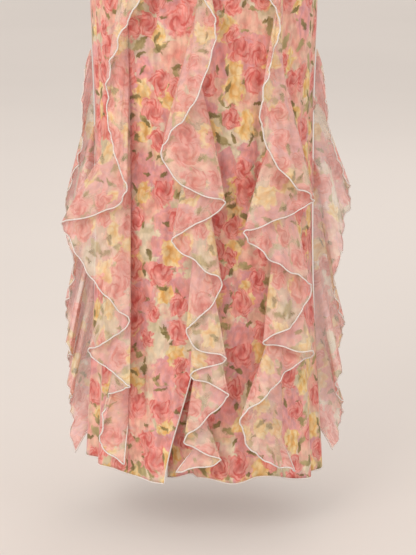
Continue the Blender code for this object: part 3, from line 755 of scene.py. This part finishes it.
# %% The bodice
TopPoint = namedtuple("TopPoint", "angle height")
BODICE_TOP = [
    TopPoint(-90, -0.212), TopPoint(-60, -0.172), TopPoint(-36, -0.126), TopPoint(-18, -0.150),
    TopPoint(0, -0.172), TopPoint(18, -0.150), TopPoint(36, -0.126), TopPoint(60, -0.172),
    TopPoint(90, -0.212), TopPoint(120, -0.206), TopPoint(146, -0.180), TopPoint(180, -0.196),
    TopPoint(214, -0.180), TopPoint(240, -0.206), TopPoint(270, -0.212),
]
BODICE_CREASES = [
    Crease(-34, -0.225, -28, -0.350, 0.007, -0.0016), Crease(-25, -0.235, -22, -0.356, 0.006, -0.0014),
    Crease(-42, -0.235, -37, -0.345, 0.007, -0.0015), Crease(33, -0.225, 29, -0.352, 0.007, -0.0016),
    Crease(24, -0.240, 21, -0.350, 0.006, -0.0013), Crease(43, -0.230, 38, -0.348, 0.007, -0.0016),
    Crease(-64, -0.240, -72, -0.330, 0.010, -0.0014), Crease(66, -0.235, 73, -0.335, 0.010, -0.0015),
    Crease(5, -0.255, -6, -0.345, 0.010, -0.0012), Crease(128, -0.240, 134, -0.345, 0.010, -0.0014),
    Crease(161, -0.235, 157, -0.350, 0.009, -0.0014), Crease(199, -0.240, 203, -0.350, 0.009, -0.0014),
    Crease(234, -0.235, 228, -0.345, 0.010, -0.0015), Crease(180, -0.260, 181, -0.350, 0.010, -0.0012),
]
BODICE_ROWS = 44
BODICE_COLUMNS = 100


def top_height(angle):
    angles, heights = zip(*BODICE_TOP)
    return smooth_curve(angles, heights, counted_from(angles[0], angle))


def bodice_half(name, start, end):
    gap = degrees_along(SEAM_GAP / 2, WAIST_HEIGHT)
    low = WAIST_HEIGHT + SEAM_GAP / 2
    up = np.linspace(1.0, 0.0, BODICE_ROWS + 1)[:, None]
    angle = np.linspace(start + gap, end - gap, BODICE_COLUMNS + 1)[None, :]
    height = low + up * (top_height(angle) - low)
    place, _, outwards = body_frame(angle, height)
    points = place + crease_depth(BODICE_CREASES, angle, height)[..., None] * outwards
    flat = np.stack([cut_place(angle, (start + end) / 2, height), height], -1)
    cloth_sheet(name, points, flat, INWARDS)
    rolled_hem(name + "_edge", points[0])
    return widest_row(points), float(height.max() - low), sheet_area(points)


BODICE_HALVES = (("bodice_front", -90.0, 90.0), ("bodice_back", 90.0, 270.0))
for name, start, end in BODICE_HALVES:
    flat_sizes[name] = bodice_half(name, start, end)
    print(name, "width, height, area:", [round(x, 3) for x in flat_sizes[name]])

# %% The straps
STRAP_FRONT_ANGLE = 36.0
STRAP_BACK_ANGLE = 146.0
STRAP_WALL = 0.0016
STRAP_WIDTH = 0.014
STRAP_TOP = 0.0008
STRAP_SPREAD = 0.082
STRAP_CROWN_BACK = 0.004
STRAP_RISE = 0.8
STRAP_CURVE = 1.25
STRAP_ROWS = 60
STRAP_SHARES = (-0.5, -0.44, -0.3, 0.0, 0.3, 0.44, 0.5)
STRAP_SOFT_EDGE = 0.4


def shoulder_strap(name, sign):
    feet = []
    for angle in (STRAP_FRONT_ANGLE, STRAP_BACK_ANGLE):
        place, _, _ = body_frame(sign * angle, top_height(sign * angle) + SEAM_GAP)
        feet.append(place)
    crown = np.array([sign * STRAP_SPREAD, STRAP_CROWN_BACK, STRAP_TOP])
    turn = np.linspace(0.0, math.pi, STRAP_ROWS + 1)
    foot = np.where((turn < math.pi / 2)[:, None], feet[0], feet[1])
    rise = np.maximum(np.sin(turn), 0.0)[:, None] ** STRAP_RISE
    level = np.abs(np.cos(turn))[:, None] ** STRAP_CURVE
    path = np.concatenate([
        crown[:2] + (foot[:, :2] - crown[:2]) * level,
        foot[:, 2:] + (crown[2] - foot[:, 2:]) * rise,
    ], axis=1)
    ahead = np.gradient(path, axis=0)
    ahead /= np.linalg.norm(ahead, axis=1, keepdims=True)
    flat_way = np.array([1.0, 0.0, 0.0])
    across = flat_way - ahead * (ahead @ flat_way)[:, None]
    across /= np.linalg.norm(across, axis=1, keepdims=True)
    shares = np.array(STRAP_SHARES)
    points = path[:, None] + (shares * STRAP_WIDTH)[None, :, None] * across[:, None]
    length = np.concatenate([[0.0], np.cumsum(np.linalg.norm(np.diff(path, axis=0), axis=1))])
    flat = np.stack(np.broadcast_arrays(shares * STRAP_WIDTH, length[:, None]), -1)
    cloth_sheet(name, points, flat, BOTH_WAYS, STRAP_WALL)
    bevel = pieces[name].modifiers.new("Soft edge", "BEVEL")
    bevel.width = STRAP_WALL * STRAP_SOFT_EDGE
    bevel.segments = 2
    return STRAP_WIDTH, float(length[-1]), STRAP_WIDTH * float(length[-1])


for name, sign in (("strap_left", -1.0), ("strap_right", 1.0)):
    flat_sizes[name] = shoulder_strap(name, sign)
    print(name, "length:", round(flat_sizes[name][1], 3))

# %% [markdown]
# ## Shader tools
#
# Every pattern here is worked out from the flat place of the cloth. A few short
# helpers keep the node trees readable: one adds a sum, one a sum of vectors, one a
# ramp, one a mix of two colours, one a noise. A ramp's four numbers are where it starts
# and ends, and its value there. Effects that several cloths share are node groups with
# named sockets, built once and set for each cloth.

# %% Node helpers
def feed(tree, value, socket):
    """Links a socket to another one, or sets its plain value."""
    if isinstance(value, bpy.types.NodeSocket):
        tree.links.new(value, socket)
    else:
        socket.default_value = value


def calc(tree, operation, *values):
    node = tree.nodes.new("ShaderNodeMath")
    node.operation = operation
    for value, socket in zip(values, node.inputs):
        feed(tree, value, socket)
    return node.outputs["Value"]


def vector(tree, operation, *values, scale=None):
    node = tree.nodes.new("ShaderNodeVectorMath")
    node.operation = operation
    for value, socket in zip(values, node.inputs):
        feed(tree, value, socket)
    if scale is not None:
        feed(tree, scale, node.inputs["Scale"])
    return node.outputs["Vector"]


def ramp(tree, value, low, high, start=0.0, end=1.0):
    """start below low, end above high, and a soft change between."""
    node = tree.nodes.new("ShaderNodeMapRange")
    node.interpolation_type = "SMOOTHSTEP"
    settings = {"Value": value, "From Min": low, "From Max": high, "To Min": start, "To Max": end}
    for name, given in settings.items():
        feed(tree, given, node.inputs[name])
    return node.outputs["Result"]


# The Mix node has a set of sockets for each kind of value. These are its colours.
MIX_SHARE, MIX_FIRST, MIX_SECOND, MIX_RESULT = 0, 6, 7, 2


def mix(tree, share, first, second, kind="MIX"):
    node = tree.nodes.new("ShaderNodeMix")
    node.data_type = "RGBA"
    node.blend_type = kind
    for index, given in ((MIX_SHARE, share), (MIX_FIRST, first), (MIX_SECOND, second)):
        feed(tree, given, node.inputs[index])
    return node.outputs[MIX_RESULT]


def noise(tree, place, scale, detail=2.0, output="Fac"):
    node = tree.nodes.new("ShaderNodeTexNoise")
    node.noise_dimensions = "2D"
    for name, given in (("Vector", place), ("Scale", scale), ("Detail", detail)):
        feed(tree, given, node.inputs[name])
    return node.outputs[output]


def new_group(name, inputs, outputs):
    """An empty shader node group, and its inner ends."""
    tree = bpy.data.node_groups.new(name, "ShaderNodeTree")
    for label, kind, value in inputs:
        socket = tree.interface.new_socket(label, in_out="INPUT", socket_type="NodeSocket" + kind)
        if value is not None:
            socket.default_value = value
    for label, kind in outputs:
        tree.interface.new_socket(label, in_out="OUTPUT", socket_type="NodeSocket" + kind)
    given = tree.nodes.new("NodeGroupInput").outputs
    made = tree.nodes.new("NodeGroupOutput").inputs
    return tree, given, made


def use_group(tree, group, values):
    node = tree.nodes.new("ShaderNodeGroup")
    node.node_tree = group
    for label, value in values.items():
        feed(tree, value, node.inputs[label])
    return node.outputs


# %% [markdown]
# ## The print: loose watercolour flowers
#
# The cloth is printed with roses, small golden blooms and soft leaves on a
# cream ground with pink and peach washes. The flowers here are scattered afresh by a
# Voronoi texture, which gives each cell one centre and one random colour: the colour
# spins the flower, sets its size and says whether the cell stays empty. Inside a
# bloom, a second Voronoi, stirred round the middle, makes overlapping petals. Their
# meeting lines take the darker ink, and noise breaks every outline, as a loaded brush
# would leave it.

# %% A scatter of places
def scattered(tree, given):
    """Metres from the nearest centre, as x and y, and three random numbers of its cell."""
    cell = tree.nodes.new("ShaderNodeTexVoronoi")
    cell.voronoi_dimensions = "2D"
    moved = vector(tree, "ADD", given["Place"], given["Shift"])
    per_cell = calc(tree, "DIVIDE", 1.0, given["Spacing"])
    place = vector(tree, "SCALE", moved, scale=per_cell)
    feed(tree, place, cell.inputs["Vector"])
    feed(tree, 1.0, cell.inputs["Scale"])
    feed(tree, given["Scatter"], cell.inputs["Randomness"])
    offset = vector(tree, "SUBTRACT", place, cell.outputs["Position"])
    offset = vector(tree, "SCALE", offset, scale=given["Spacing"])
    parts = tree.nodes.new("ShaderNodeSeparateXYZ")
    feed(tree, offset, parts.inputs[0])
    chance = tree.nodes.new("ShaderNodeSeparateColor")
    feed(tree, cell.outputs["Color"], chance.inputs[0])
    return parts.outputs["X"], parts.outputs["Y"], chance.outputs


SCATTER_INPUTS = [
    ("Place", "Vector", None), ("Shift", "Vector", (0.0, 0.0, 0.0)), ("Spacing", "Float", 0.06),
    ("Scatter", "Float", 0.65), ("Share", "Float", 0.8), ("Softness", "Float", 0.08),
]

FULL_TURN = 2 * math.pi
SIZE_SPREAD, LEAST_SIZE = 0.6, 0.7


def blots(tree, place, scale, detail):
    """Noise about nought, which breaks the outlines as wet colour does."""
    return calc(tree, "SUBTRACT", noise(tree, place, scale, detail), 0.5)


# %% A bloom
BLOOM_BLOTS = (78.0, 3.0)
BLOOM_RAGGED = 1.5
PETAL_SHIFT = 19.0
PETAL_SETTINGS = (("Scale", 1.0), ("Smoothness", 0.25), ("Randomness", 0.9))
PETAL_TONE = (0.15, 0.75, 0.9, 0.1)
PETAL_BLOTCH = 1.2
HEART_FADE = (0.02, 0.62, 0.75, 0.0)
HEART_BLOTCH = 0.8
STROKE_EDGE = (0.42, 0.72)
STROKE_FADE = (0.2, 1.0, 1.0, 0.25)


def turned(tree, x, y, turn):
    """x and y turned round the middle."""
    sine, cosine = calc(tree, "SINE", turn), calc(tree, "COSINE", turn)
    across = calc(tree, "ADD", calc(tree, "MULTIPLY", x, cosine), calc(tree, "MULTIPLY", y, sine))
    upward = calc(tree, "SUBTRACT", calc(tree, "MULTIPLY", y, cosine), calc(tree, "MULTIPLY", x, sine))
    return across, upward


def length_of(tree, x, y):
    squares = calc(tree, "MULTIPLY", x, x), calc(tree, "MULTIPLY", y, y)
    return calc(tree, "SQRT", calc(tree, "ADD", *squares))


bloom, given, made = new_group(
    "Watercolour bloom",
    SCATTER_INPUTS + [
        ("Radius", "Float", 0.022), ("Tall", "Float", 1.2), ("Petals", "Float", 2.3), ("Swirl", "Float", 2.2),
        ("Ink", "Float", 0.6), ("Heart", "Color", (0.5, 0.05, 0.07, 1.0)),
        ("Petal", "Color", (0.8, 0.3, 0.28, 1.0)), ("Rim", "Color", (0.95, 0.72, 0.66, 1.0)),
    ],
    [("Colour", "Color"), ("Cover", "Float")],
)
x, y, chance = scattered(bloom, given)
size = calc(bloom, "MULTIPLY_ADD", chance[1], SIZE_SPREAD, LEAST_SIZE)
size = calc(bloom, "MULTIPLY", given["Radius"], size)
x, y = calc(bloom, "DIVIDE", x, size), calc(bloom, "DIVIDE", y, size)
y = calc(bloom, "DIVIDE", y, given["Tall"])
away = length_of(bloom, x, y)
blot = blots(bloom, given["Place"], *BLOOM_BLOTS)
reach = calc(bloom, "DIVIDE", away, calc(bloom, "MULTIPLY_ADD", blot, BLOOM_RAGGED, 1.0))
spin = calc(bloom, "MULTIPLY", chance[0], FULL_TURN)
swirl = calc(bloom, "MULTIPLY_ADD", given["Swirl"], away, spin)
petal_place = bloom.nodes.new("ShaderNodeCombineXYZ")
shifts = chance[0], chance[2]
for part, shift, socket in zip(turned(bloom, x, y, swirl), shifts, petal_place.inputs):
    part = calc(bloom, "MULTIPLY", part, given["Petals"])
    feed(bloom, calc(bloom, "MULTIPLY_ADD", shift, PETAL_SHIFT, part), socket)
petals = bloom.nodes.new("ShaderNodeTexVoronoi")
petals.voronoi_dimensions = "2D"
petals.feature = "SMOOTH_F1"
feed(bloom, petal_place.outputs[0], petals.inputs["Vector"])
for label, value in PETAL_SETTINGS:
    feed(bloom, value, petals.inputs[label])
from_petal = petals.outputs["Distance"]
tone = calc(bloom, "MULTIPLY_ADD", blot, PETAL_BLOTCH, ramp(bloom, from_petal, *PETAL_TONE))
lit = mix(bloom, tone, given["Petal"], given["Rim"])
heart = ramp(bloom, calc(bloom, "MULTIPLY_ADD", blot, HEART_BLOTCH, reach), *HEART_FADE)
stroke = ramp(bloom, from_petal, *STROKE_EDGE)
stroke = calc(bloom, "MULTIPLY", stroke, ramp(bloom, reach, *STROKE_FADE))
inked = calc(bloom, "MULTIPLY", calc(bloom, "MAXIMUM", heart, stroke), given["Ink"])
feed(bloom, mix(bloom, inked, lit, given["Heart"]), made["Colour"])
inner = calc(bloom, "SUBTRACT", 1.0, given["Softness"])
outer = calc(bloom, "ADD", 1.0, given["Softness"])
shown = calc(bloom, "LESS_THAN", chance[2], given["Share"])
feed(bloom, calc(bloom, "MULTIPLY", ramp(bloom, reach, inner, outer, 1.0, 0.0), shown), made["Cover"])
print("bloom nodes:", len(bloom.nodes))

# %% A leaf
LEAF_BLOTS = (140.0, 2.0)
LEAF_BEND = 0.35
LEAF_RAGGED = 1.3
LEAF_SHADE = (-0.8, 0.9)
LEAF_VEIN = (0.0, 0.16, 0.5, 0.0)
LEAF_EDGE_SOFTNESS = 4.5


def in_halves(tree, distance, whole, size):
    """The distance from the middle, as a share of half the length or half the width."""
    half = calc(tree, "MULTIPLY", whole, 0.5)
    return calc(tree, "DIVIDE", distance, calc(tree, "MULTIPLY", half, size))


leaf, given, made = new_group(
    "Watercolour leaf",
    SCATTER_INPUTS + [
        ("Length", "Float", 0.026), ("Width", "Float", 0.009),
        ("Base", "Color", (0.2, 0.19, 0.09, 1.0)), ("Tip", "Color", (0.5, 0.45, 0.25, 1.0)),
    ],
    [("Colour", "Color"), ("Cover", "Float")],
)
x, y, chance = scattered(leaf, given)
far, wide = turned(leaf, x, y, calc(leaf, "MULTIPLY", chance[0], FULL_TURN))
size = calc(leaf, "MULTIPLY_ADD", chance[1], SIZE_SPREAD, LEAST_SIZE)
far = in_halves(leaf, far, given["Length"], size)
wide = in_halves(leaf, wide, given["Width"], size)
far_squared = calc(leaf, "MULTIPLY", far, far)
wide = calc(leaf, "ADD", wide, calc(leaf, "MULTIPLY", far_squared, LEAF_BEND))
wide = calc(leaf, "ABSOLUTE", wide)
taper = calc(leaf, "SUBTRACT", 1.0, far_squared)
blot = blots(leaf, given["Place"], *LEAF_BLOTS)
rim = calc(leaf, "SUBTRACT", calc(leaf, "MULTIPLY_ADD", blot, LEAF_RAGGED, taper), wide)
shade = mix(leaf, ramp(leaf, far, *LEAF_SHADE), given["Base"], given["Tip"])
shade = mix(leaf, ramp(leaf, wide, *LEAF_VEIN), shade, given["Tip"])
feed(leaf, shade, made["Colour"])
shown = calc(leaf, "LESS_THAN", chance[2], given["Share"])
soft = calc(leaf, "MULTIPLY", given["Softness"], LEAF_EDGE_SOFTNESS)
feed(leaf, calc(leaf, "MULTIPLY", ramp(leaf, rim, 0.0, soft), shown), made["Cover"])
print("leaf nodes:", len(leaf.nodes))

# %% [markdown]
# ## The whole print
#
# The layers go down as on paper: washes first, then wide pale blooms, leaves, lilac
# and golden blooms, small dark leaves, and the deep roses last. A little noise moves the
# flat place before anything is drawn, so no outline is perfect, and a slow noise
# lightens and deepens the whole sheet. Fade thins the colours towards the ground, for
# the ruffles and straps, and Depth deepens them, most of all on the skirt, whose second
# layer shows through the first.

# %% Build the print
CREAM = (0.81, 0.71, 0.56, 1.0)
PINK_WASH = (0.80, 0.46, 0.375, 1.0)
PEACH_WASH = (0.84, 0.57, 0.35, 1.0)
LILAC_WASH = (0.73, 0.46, 0.48, 1.0)
SAGE_WASH = (0.66, 0.58, 0.41, 1.0)
DEEP_ROSE = (0.59, 0.105, 0.098, 1.0)
WARM_ROSE = (0.77, 0.270, 0.232, 1.0)
PALE_ROSE = (0.86, 0.47, 0.425, 1.0)
BLUSH = (0.84, 0.49, 0.42, 1.0)
BLUSH_RIM = (0.85, 0.61, 0.49, 1.0)
LILAC = (0.74, 0.46, 0.49, 1.0)
OCHRE = (0.72, 0.39, 0.11, 1.0)
GOLD = (0.85, 0.59, 0.26, 1.0)
STRAW = (0.87, 0.73, 0.46, 1.0)
DARK_OLIVE = (0.27, 0.215, 0.100, 1.0)
OLIVE = (0.40, 0.335, 0.165, 1.0)
SAGE = (0.56, 0.48, 0.28, 1.0)

PrintLayer = namedtuple("PrintLayer", "group shift settings")
PRINT_LAYERS = [
    PrintLayer(bloom, (0.531, 0.087, 0.0), {
        "Spacing": 0.058, "Share": 0.62, "Radius": 0.029, "Tall": 1.1, "Petals": 1.7, "Swirl": 1.4,
        "Ink": 0.45, "Heart": WARM_ROSE, "Petal": BLUSH, "Rim": BLUSH_RIM}),
    PrintLayer(leaf, (0.013, 0.171, 0.0), {
        "Spacing": 0.034, "Share": 0.72, "Length": 0.036, "Width": 0.015, "Base": OLIVE, "Tip": SAGE}),
    PrintLayer(bloom, (0.257, 0.613, 0.0), {
        "Spacing": 0.062, "Share": 0.66, "Radius": 0.024, "Tall": 1.3, "Petals": 1.9, "Swirl": 1.6,
        "Ink": 0.55, "Heart": WARM_ROSE, "Petal": LILAC, "Rim": PALE_ROSE}),
    PrintLayer(bloom, (0.121, 0.411, 0.0), {
        "Spacing": 0.052, "Share": 0.56, "Radius": 0.0145, "Tall": 1.45, "Petals": 2.0, "Swirl": 0.8,
        "Ink": 0.60, "Heart": OCHRE, "Petal": GOLD, "Rim": STRAW}),
    PrintLayer(leaf, (0.317, 0.053, 0.0), {
        "Spacing": 0.027, "Share": 0.50, "Length": 0.024, "Width": 0.010, "Base": DARK_OLIVE, "Tip": OLIVE}),
    PrintLayer(bloom, (0.709, 0.263, 0.0), {
        "Spacing": 0.044, "Share": 0.70, "Radius": 0.0165, "Tall": 1.25, "Petals": 2.3, "Swirl": 2.6,
        "Ink": 0.72, "Heart": DEEP_ROSE, "Petal": WARM_ROSE, "Rim": PALE_ROSE}),
]

MIDDLE_GREY = (0.5, 0.5, 0.5)
STREAKS = (1.5, 0.8, 1.0)
WIDE_DRIFT_SCALE, WIDE_DRIFT = 38.0, 0.014
FINE_DRIFT_SCALE, FINE_DRIFT = 190.0, (0.0028, 0.0050, 0.0)
WASH_SCALE, WASH_DETAIL = 22.0, 3.0
WASH_EDGE = (0.50, 0.70, 0.0, 0.7)
SAGE_EDGE = (0.46, 0.34, 0.0, 0.8)
LAYER_COVER = 0.93
WET_SCALE, WET_DETAIL = 75.0, 5.0
WET_TONES = (0.3, 0.7, 0.82, 1.04)
WET_SHARE = 0.8

floral, given, made = new_group(
    "Floral print",
    [("Place", "Vector", None), ("Fade", "Float", 0.0),
     ("Softness", "Float", 0.08), ("Depth", "Float", 1.0)],
    [("Colour", "Color"), ("Ink", "Float")],
)


def drift_of(place, scale):
    """Noise in three directions, about nought."""
    return vector(floral, "SUBTRACT", noise(floral, place, scale, 2.0, "Color"), MIDDLE_GREY)


streaked = vector(floral, "MULTIPLY", given["Place"], STREAKS)
wide_drift = drift_of(given["Place"], WIDE_DRIFT_SCALE)
fine_drift = drift_of(streaked, FINE_DRIFT_SCALE)
wide_drift = vector(floral, "SCALE", wide_drift, scale=WIDE_DRIFT)
place = vector(floral, "ADD", given["Place"], wide_drift)
place = vector(floral, "ADD", place, vector(floral, "MULTIPLY", fine_drift, FINE_DRIFT))
wetness = floral.nodes.new("ShaderNodeSeparateColor")
feed(floral, noise(floral, place, WASH_SCALE, WASH_DETAIL, "Color"), wetness.inputs[0])
colour = CREAM
for amount, wash in zip(wetness.outputs, (PINK_WASH, PEACH_WASH, LILAC_WASH)):
    colour = mix(floral, ramp(floral, amount, *WASH_EDGE), colour, wash)
colour = mix(floral, ramp(floral, wetness.outputs[0], *SAGE_EDGE), colour, SAGE_WASH)
ink = 0.0
for layer in PRINT_LAYERS:
    values = {"Place": place, "Shift": layer.shift, "Softness": given["Softness"], **layer.settings}
    drawn = use_group(floral, layer.group, values)
    cover = calc(floral, "MULTIPLY", drawn["Cover"], LAYER_COVER)
    colour = mix(floral, cover, colour, drawn["Colour"])
    ink = calc(floral, "MAXIMUM", ink, drawn["Cover"])
wet = ramp(floral, noise(floral, streaked, WET_SCALE, WET_DETAIL), *WET_TONES)
wet_colour = floral.nodes.new("ShaderNodeCombineColor")
for channel in wet_colour.inputs:
    feed(floral, wet, channel)
colour = mix(floral, WET_SHARE, colour, wet_colour.outputs[0], "MULTIPLY")
colour = mix(floral, given["Fade"], colour, CREAM)
deepened = floral.nodes.new("ShaderNodeGamma")
feed(floral, colour, deepened.inputs["Color"])
feed(floral, given["Depth"], deepened.inputs["Gamma"])
feed(floral, deepened.outputs[0], made["Colour"])
feed(floral, ink, made["Ink"])
print("print nodes:", len(floral.nodes))

# %% [markdown]
# ## Chiffon
#
# Chiffon is a plain weave of tightly twisted thread, so it is matt and slightly
# pebbled. Two crossing waves, shaken by noise, give the threads' relief. The ruffles
# are one layer, so what lies behind them glows through: each face of the sheet lets a
# share of the light pass, and a little less where the print holds more dye. The ruffles
# also give off a little light of their own in the print's colour, a painted glow that
# stands for light coming through the cloth from behind.

# %% Weave group and cloth materials
THREAD_SPACING = 0.0006
THREAD_SHAKE_SCALE, THREAD_SHAKE = 900.0, 0.0004
THREAD_RELIEF, THREAD_STRENGTH = 0.00012, 0.5
CHIFFON_ROUGHNESS, ROUGHNESS_SWING = 0.78, 0.08
CHIFFON_SHEEN, SHEEN_ROUGHNESS = 0.25, 0.4
CHIFFON_SHINE = 0.25

weave, given, made = new_group(
    "Crepe weave",
    [("Place", "Vector", None), ("Thread", "Float", THREAD_SPACING)],
    [("Height", "Float")],
)
shake = noise(weave, given["Place"], THREAD_SHAKE_SCALE, 1.0, "Color")
shaken = vector(weave, "ADD", given["Place"], vector(weave, "SCALE", shake, scale=THREAD_SHAKE))
parts = weave.nodes.new("ShaderNodeSeparateXYZ")
feed(weave, shaken, parts.inputs[0])
turns = calc(weave, "DIVIDE", FULL_TURN, given["Thread"])
warp = calc(weave, "SINE", calc(weave, "MULTIPLY", parts.outputs["X"], turns))
weft = calc(weave, "SINE", calc(weave, "MULTIPLY", parts.outputs["Y"], turns))
feed(weave, calc(weave, "MULTIPLY_ADD", calc(weave, "MULTIPLY", warp, weft), 0.5, 0.5), made["Height"])


def cloth_material(name, fade, softness, depth, cover=None, painted_glow=0.0):
    """Printed chiffon.

    cover is the (least, most) share of light that one face stops, and the glow is light
    that the cloth gives off itself in its print's colour: painted light that stands for
    light coming through the cloth from behind. Only sheer cloth has them.
    """
    material = bpy.data.materials.new(name)
    material.use_nodes = True
    tree = material.node_tree
    shader = tree.nodes["Principled BSDF"]
    flat = tree.nodes.new("ShaderNodeUVMap")
    flat.uv_map = CLOTH_MAP
    settings = {"Place": flat.outputs["UV"], "Fade": fade, "Softness": softness, "Depth": depth}
    printed = use_group(tree, floral, settings)
    feed(tree, printed["Colour"], shader.inputs["Base Color"])
    woven = use_group(tree, weave, {"Place": flat.outputs["UV"]})
    bump = tree.nodes.new("ShaderNodeBump")
    bump.inputs["Distance"].default_value = THREAD_RELIEF
    bump.inputs["Strength"].default_value = THREAD_STRENGTH
    feed(tree, woven["Height"], bump.inputs["Height"])
    feed(tree, bump.outputs["Normal"], shader.inputs["Normal"])
    low, high = CHIFFON_ROUGHNESS - ROUGHNESS_SWING, CHIFFON_ROUGHNESS + ROUGHNESS_SWING
    feed(tree, ramp(tree, woven["Height"], 0.0, 1.0, high, low), shader.inputs["Roughness"])
    shader.inputs["Sheen Weight"].default_value = CHIFFON_SHEEN
    shader.inputs["Sheen Roughness"].default_value = SHEEN_ROUGHNESS
    shader.inputs["Specular IOR Level"].default_value = CHIFFON_SHINE
    if cover:
        feed(tree, ramp(tree, printed["Ink"], 0.0, 1.0, *cover), shader.inputs["Alpha"])
        # Painted light: the sheer cloth gives off a little light in its print's colour, for light shining
        # through it from behind.
        feed(tree, printed["Colour"], shader.inputs["Emission Color"])
        shader.inputs["Emission Strength"].default_value = painted_glow
    return material


skirt_print = cloth_material("skirt_print", fade=0.0, softness=0.12, depth=1.34)
bodice_print = cloth_material("bodice_print", fade=0.0, softness=0.12, depth=1.22)
strap_print = cloth_material("strap_print", fade=0.15, softness=0.12, depth=1.22)
# The ruffles' glow is painted light: a little light in the print's colour, for light that shines through
# them.
ruffle_print = cloth_material("ruffle_print", fade=0.15, softness=0.14, depth=1.05,
                              cover=(0.38, 0.52), painted_glow=0.09)
print("cloths:", [cloth.name for cloth in (skirt_print, bodice_print, strap_print, ruffle_print)])

# %% [markdown]
# ## Rolled hems
#
# An overlock machine rolls the cut edge under and covers it with thread. The roll is
# a little over 2 mm thick, nearly white, and shows as a bright line round every ruffle.
# Slanting ridges stand for the turns of thread, and the grooves between them are painted darker, as shade.

# %% Hem material
THREAD_PITCH = 0.0011
THREAD_SLANT = 0.5
THREAD_EDGE = (-1.0, 0.6)
THREAD_SHADE = (0.88, 0.76, 0.69, 1.0)
THREAD_LIGHT = (0.96, 0.92, 0.88, 1.0)
STITCH_RELIEF = 0.0002

rolled_thread = bpy.data.materials.new("rolled_thread")
rolled_thread.use_nodes = True
tree = rolled_thread.node_tree
shader = tree.nodes["Principled BSDF"]
flat = tree.nodes.new("ShaderNodeUVMap")
flat.uv_map = CLOTH_MAP
parts = tree.nodes.new("ShaderNodeSeparateXYZ")
feed(tree, flat.outputs["UV"], parts.inputs[0])
slanted = calc(tree, "MULTIPLY_ADD", parts.outputs["Y"], THREAD_SLANT, parts.outputs["X"])
turn = calc(tree, "SINE", calc(tree, "MULTIPLY", slanted, FULL_TURN / THREAD_PITCH))
# Painted shade: the thread turns darker in the grooves between its turns.
groove_shaded_thread = mix(tree, ramp(tree, turn, *THREAD_EDGE), THREAD_SHADE, THREAD_LIGHT)
feed(tree, groove_shaded_thread, shader.inputs["Base Color"])
bump = tree.nodes.new("ShaderNodeBump")
bump.inputs["Distance"].default_value = STITCH_RELIEF
feed(tree, turn, bump.inputs["Height"])
feed(tree, bump.outputs["Normal"], shader.inputs["Normal"])
shader.inputs["Roughness"].default_value = 0.6
shader.inputs["Sheen Weight"].default_value = 0.2
print("hem thread:", rolled_thread.name)

# %% [markdown]
# ## The floor's paint
#
# A studio floor is never one even tone, so a wide soft noise moves it a little between
# two near colours. It also gives off a little light of its own, which keeps the shadow
# under the dress soft and pale.

# %% Floor material
FLOOR_CLOUDS = (0.8, 3.0)
FLOOR_CLOUD_EDGE = (0.3, 0.7)
FLOOR_DARK = (0.425, 0.390, 0.365, 1.0)
FLOOR_PALE = (0.440, 0.403, 0.377, 1.0)
FLOOR_GLOW = (0.79, 0.71, 0.645, 1.0)
FLOOR_GLOW_STRENGTH = 0.36

floor_paint = bpy.data.materials.new("floor_paint")
floor_paint.use_nodes = True
tree = floor_paint.node_tree
shader = tree.nodes["Principled BSDF"]
place = tree.nodes.new("ShaderNodeTexCoord").outputs["Object"]
cloudy = ramp(tree, noise(tree, place, *FLOOR_CLOUDS), *FLOOR_CLOUD_EDGE)
feed(tree, mix(tree, cloudy, FLOOR_DARK, FLOOR_PALE), shader.inputs["Base Color"])
shader.inputs["Emission Color"].default_value = FLOOR_GLOW
shader.inputs["Emission Strength"].default_value = FLOOR_GLOW_STRENGTH
shader.inputs["Roughness"].default_value = 0.9
shader.inputs["Specular IOR Level"].default_value = 0.1
floor.data.materials.append(floor_paint)
print("floor paint:", floor_paint.name)

# %% [markdown]
# ## Each piece takes its cloth and its place in the model
#
# Every sheet stands for the solid of the same name, so that solid isn't shown. The
# hems go with their sheets. Each piece hangs from the root of the model.

# %% Dress the pieces
def material_of(name):
    if name.endswith(("_hem", "_edge")):
        return rolled_thread, "rolled_hem"
    if name.startswith("ruffle"):
        return ruffle_print, "ruffle_cloth"
    if name.startswith("skirt"):
        return skirt_print, "skirt_cloth"
    if name.startswith("bodice"):
        return bodice_print, "bodice_cloth"
    return strap_print, "strap_cloth"


for name, piece in pieces.items():
    material, slot = material_of(name)
    piece.data.materials.append(material)
    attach(piece, "root")
for name, (width, length, area) in flat_sizes.items():
    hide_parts(name)
print("pieces:", len(pieces))
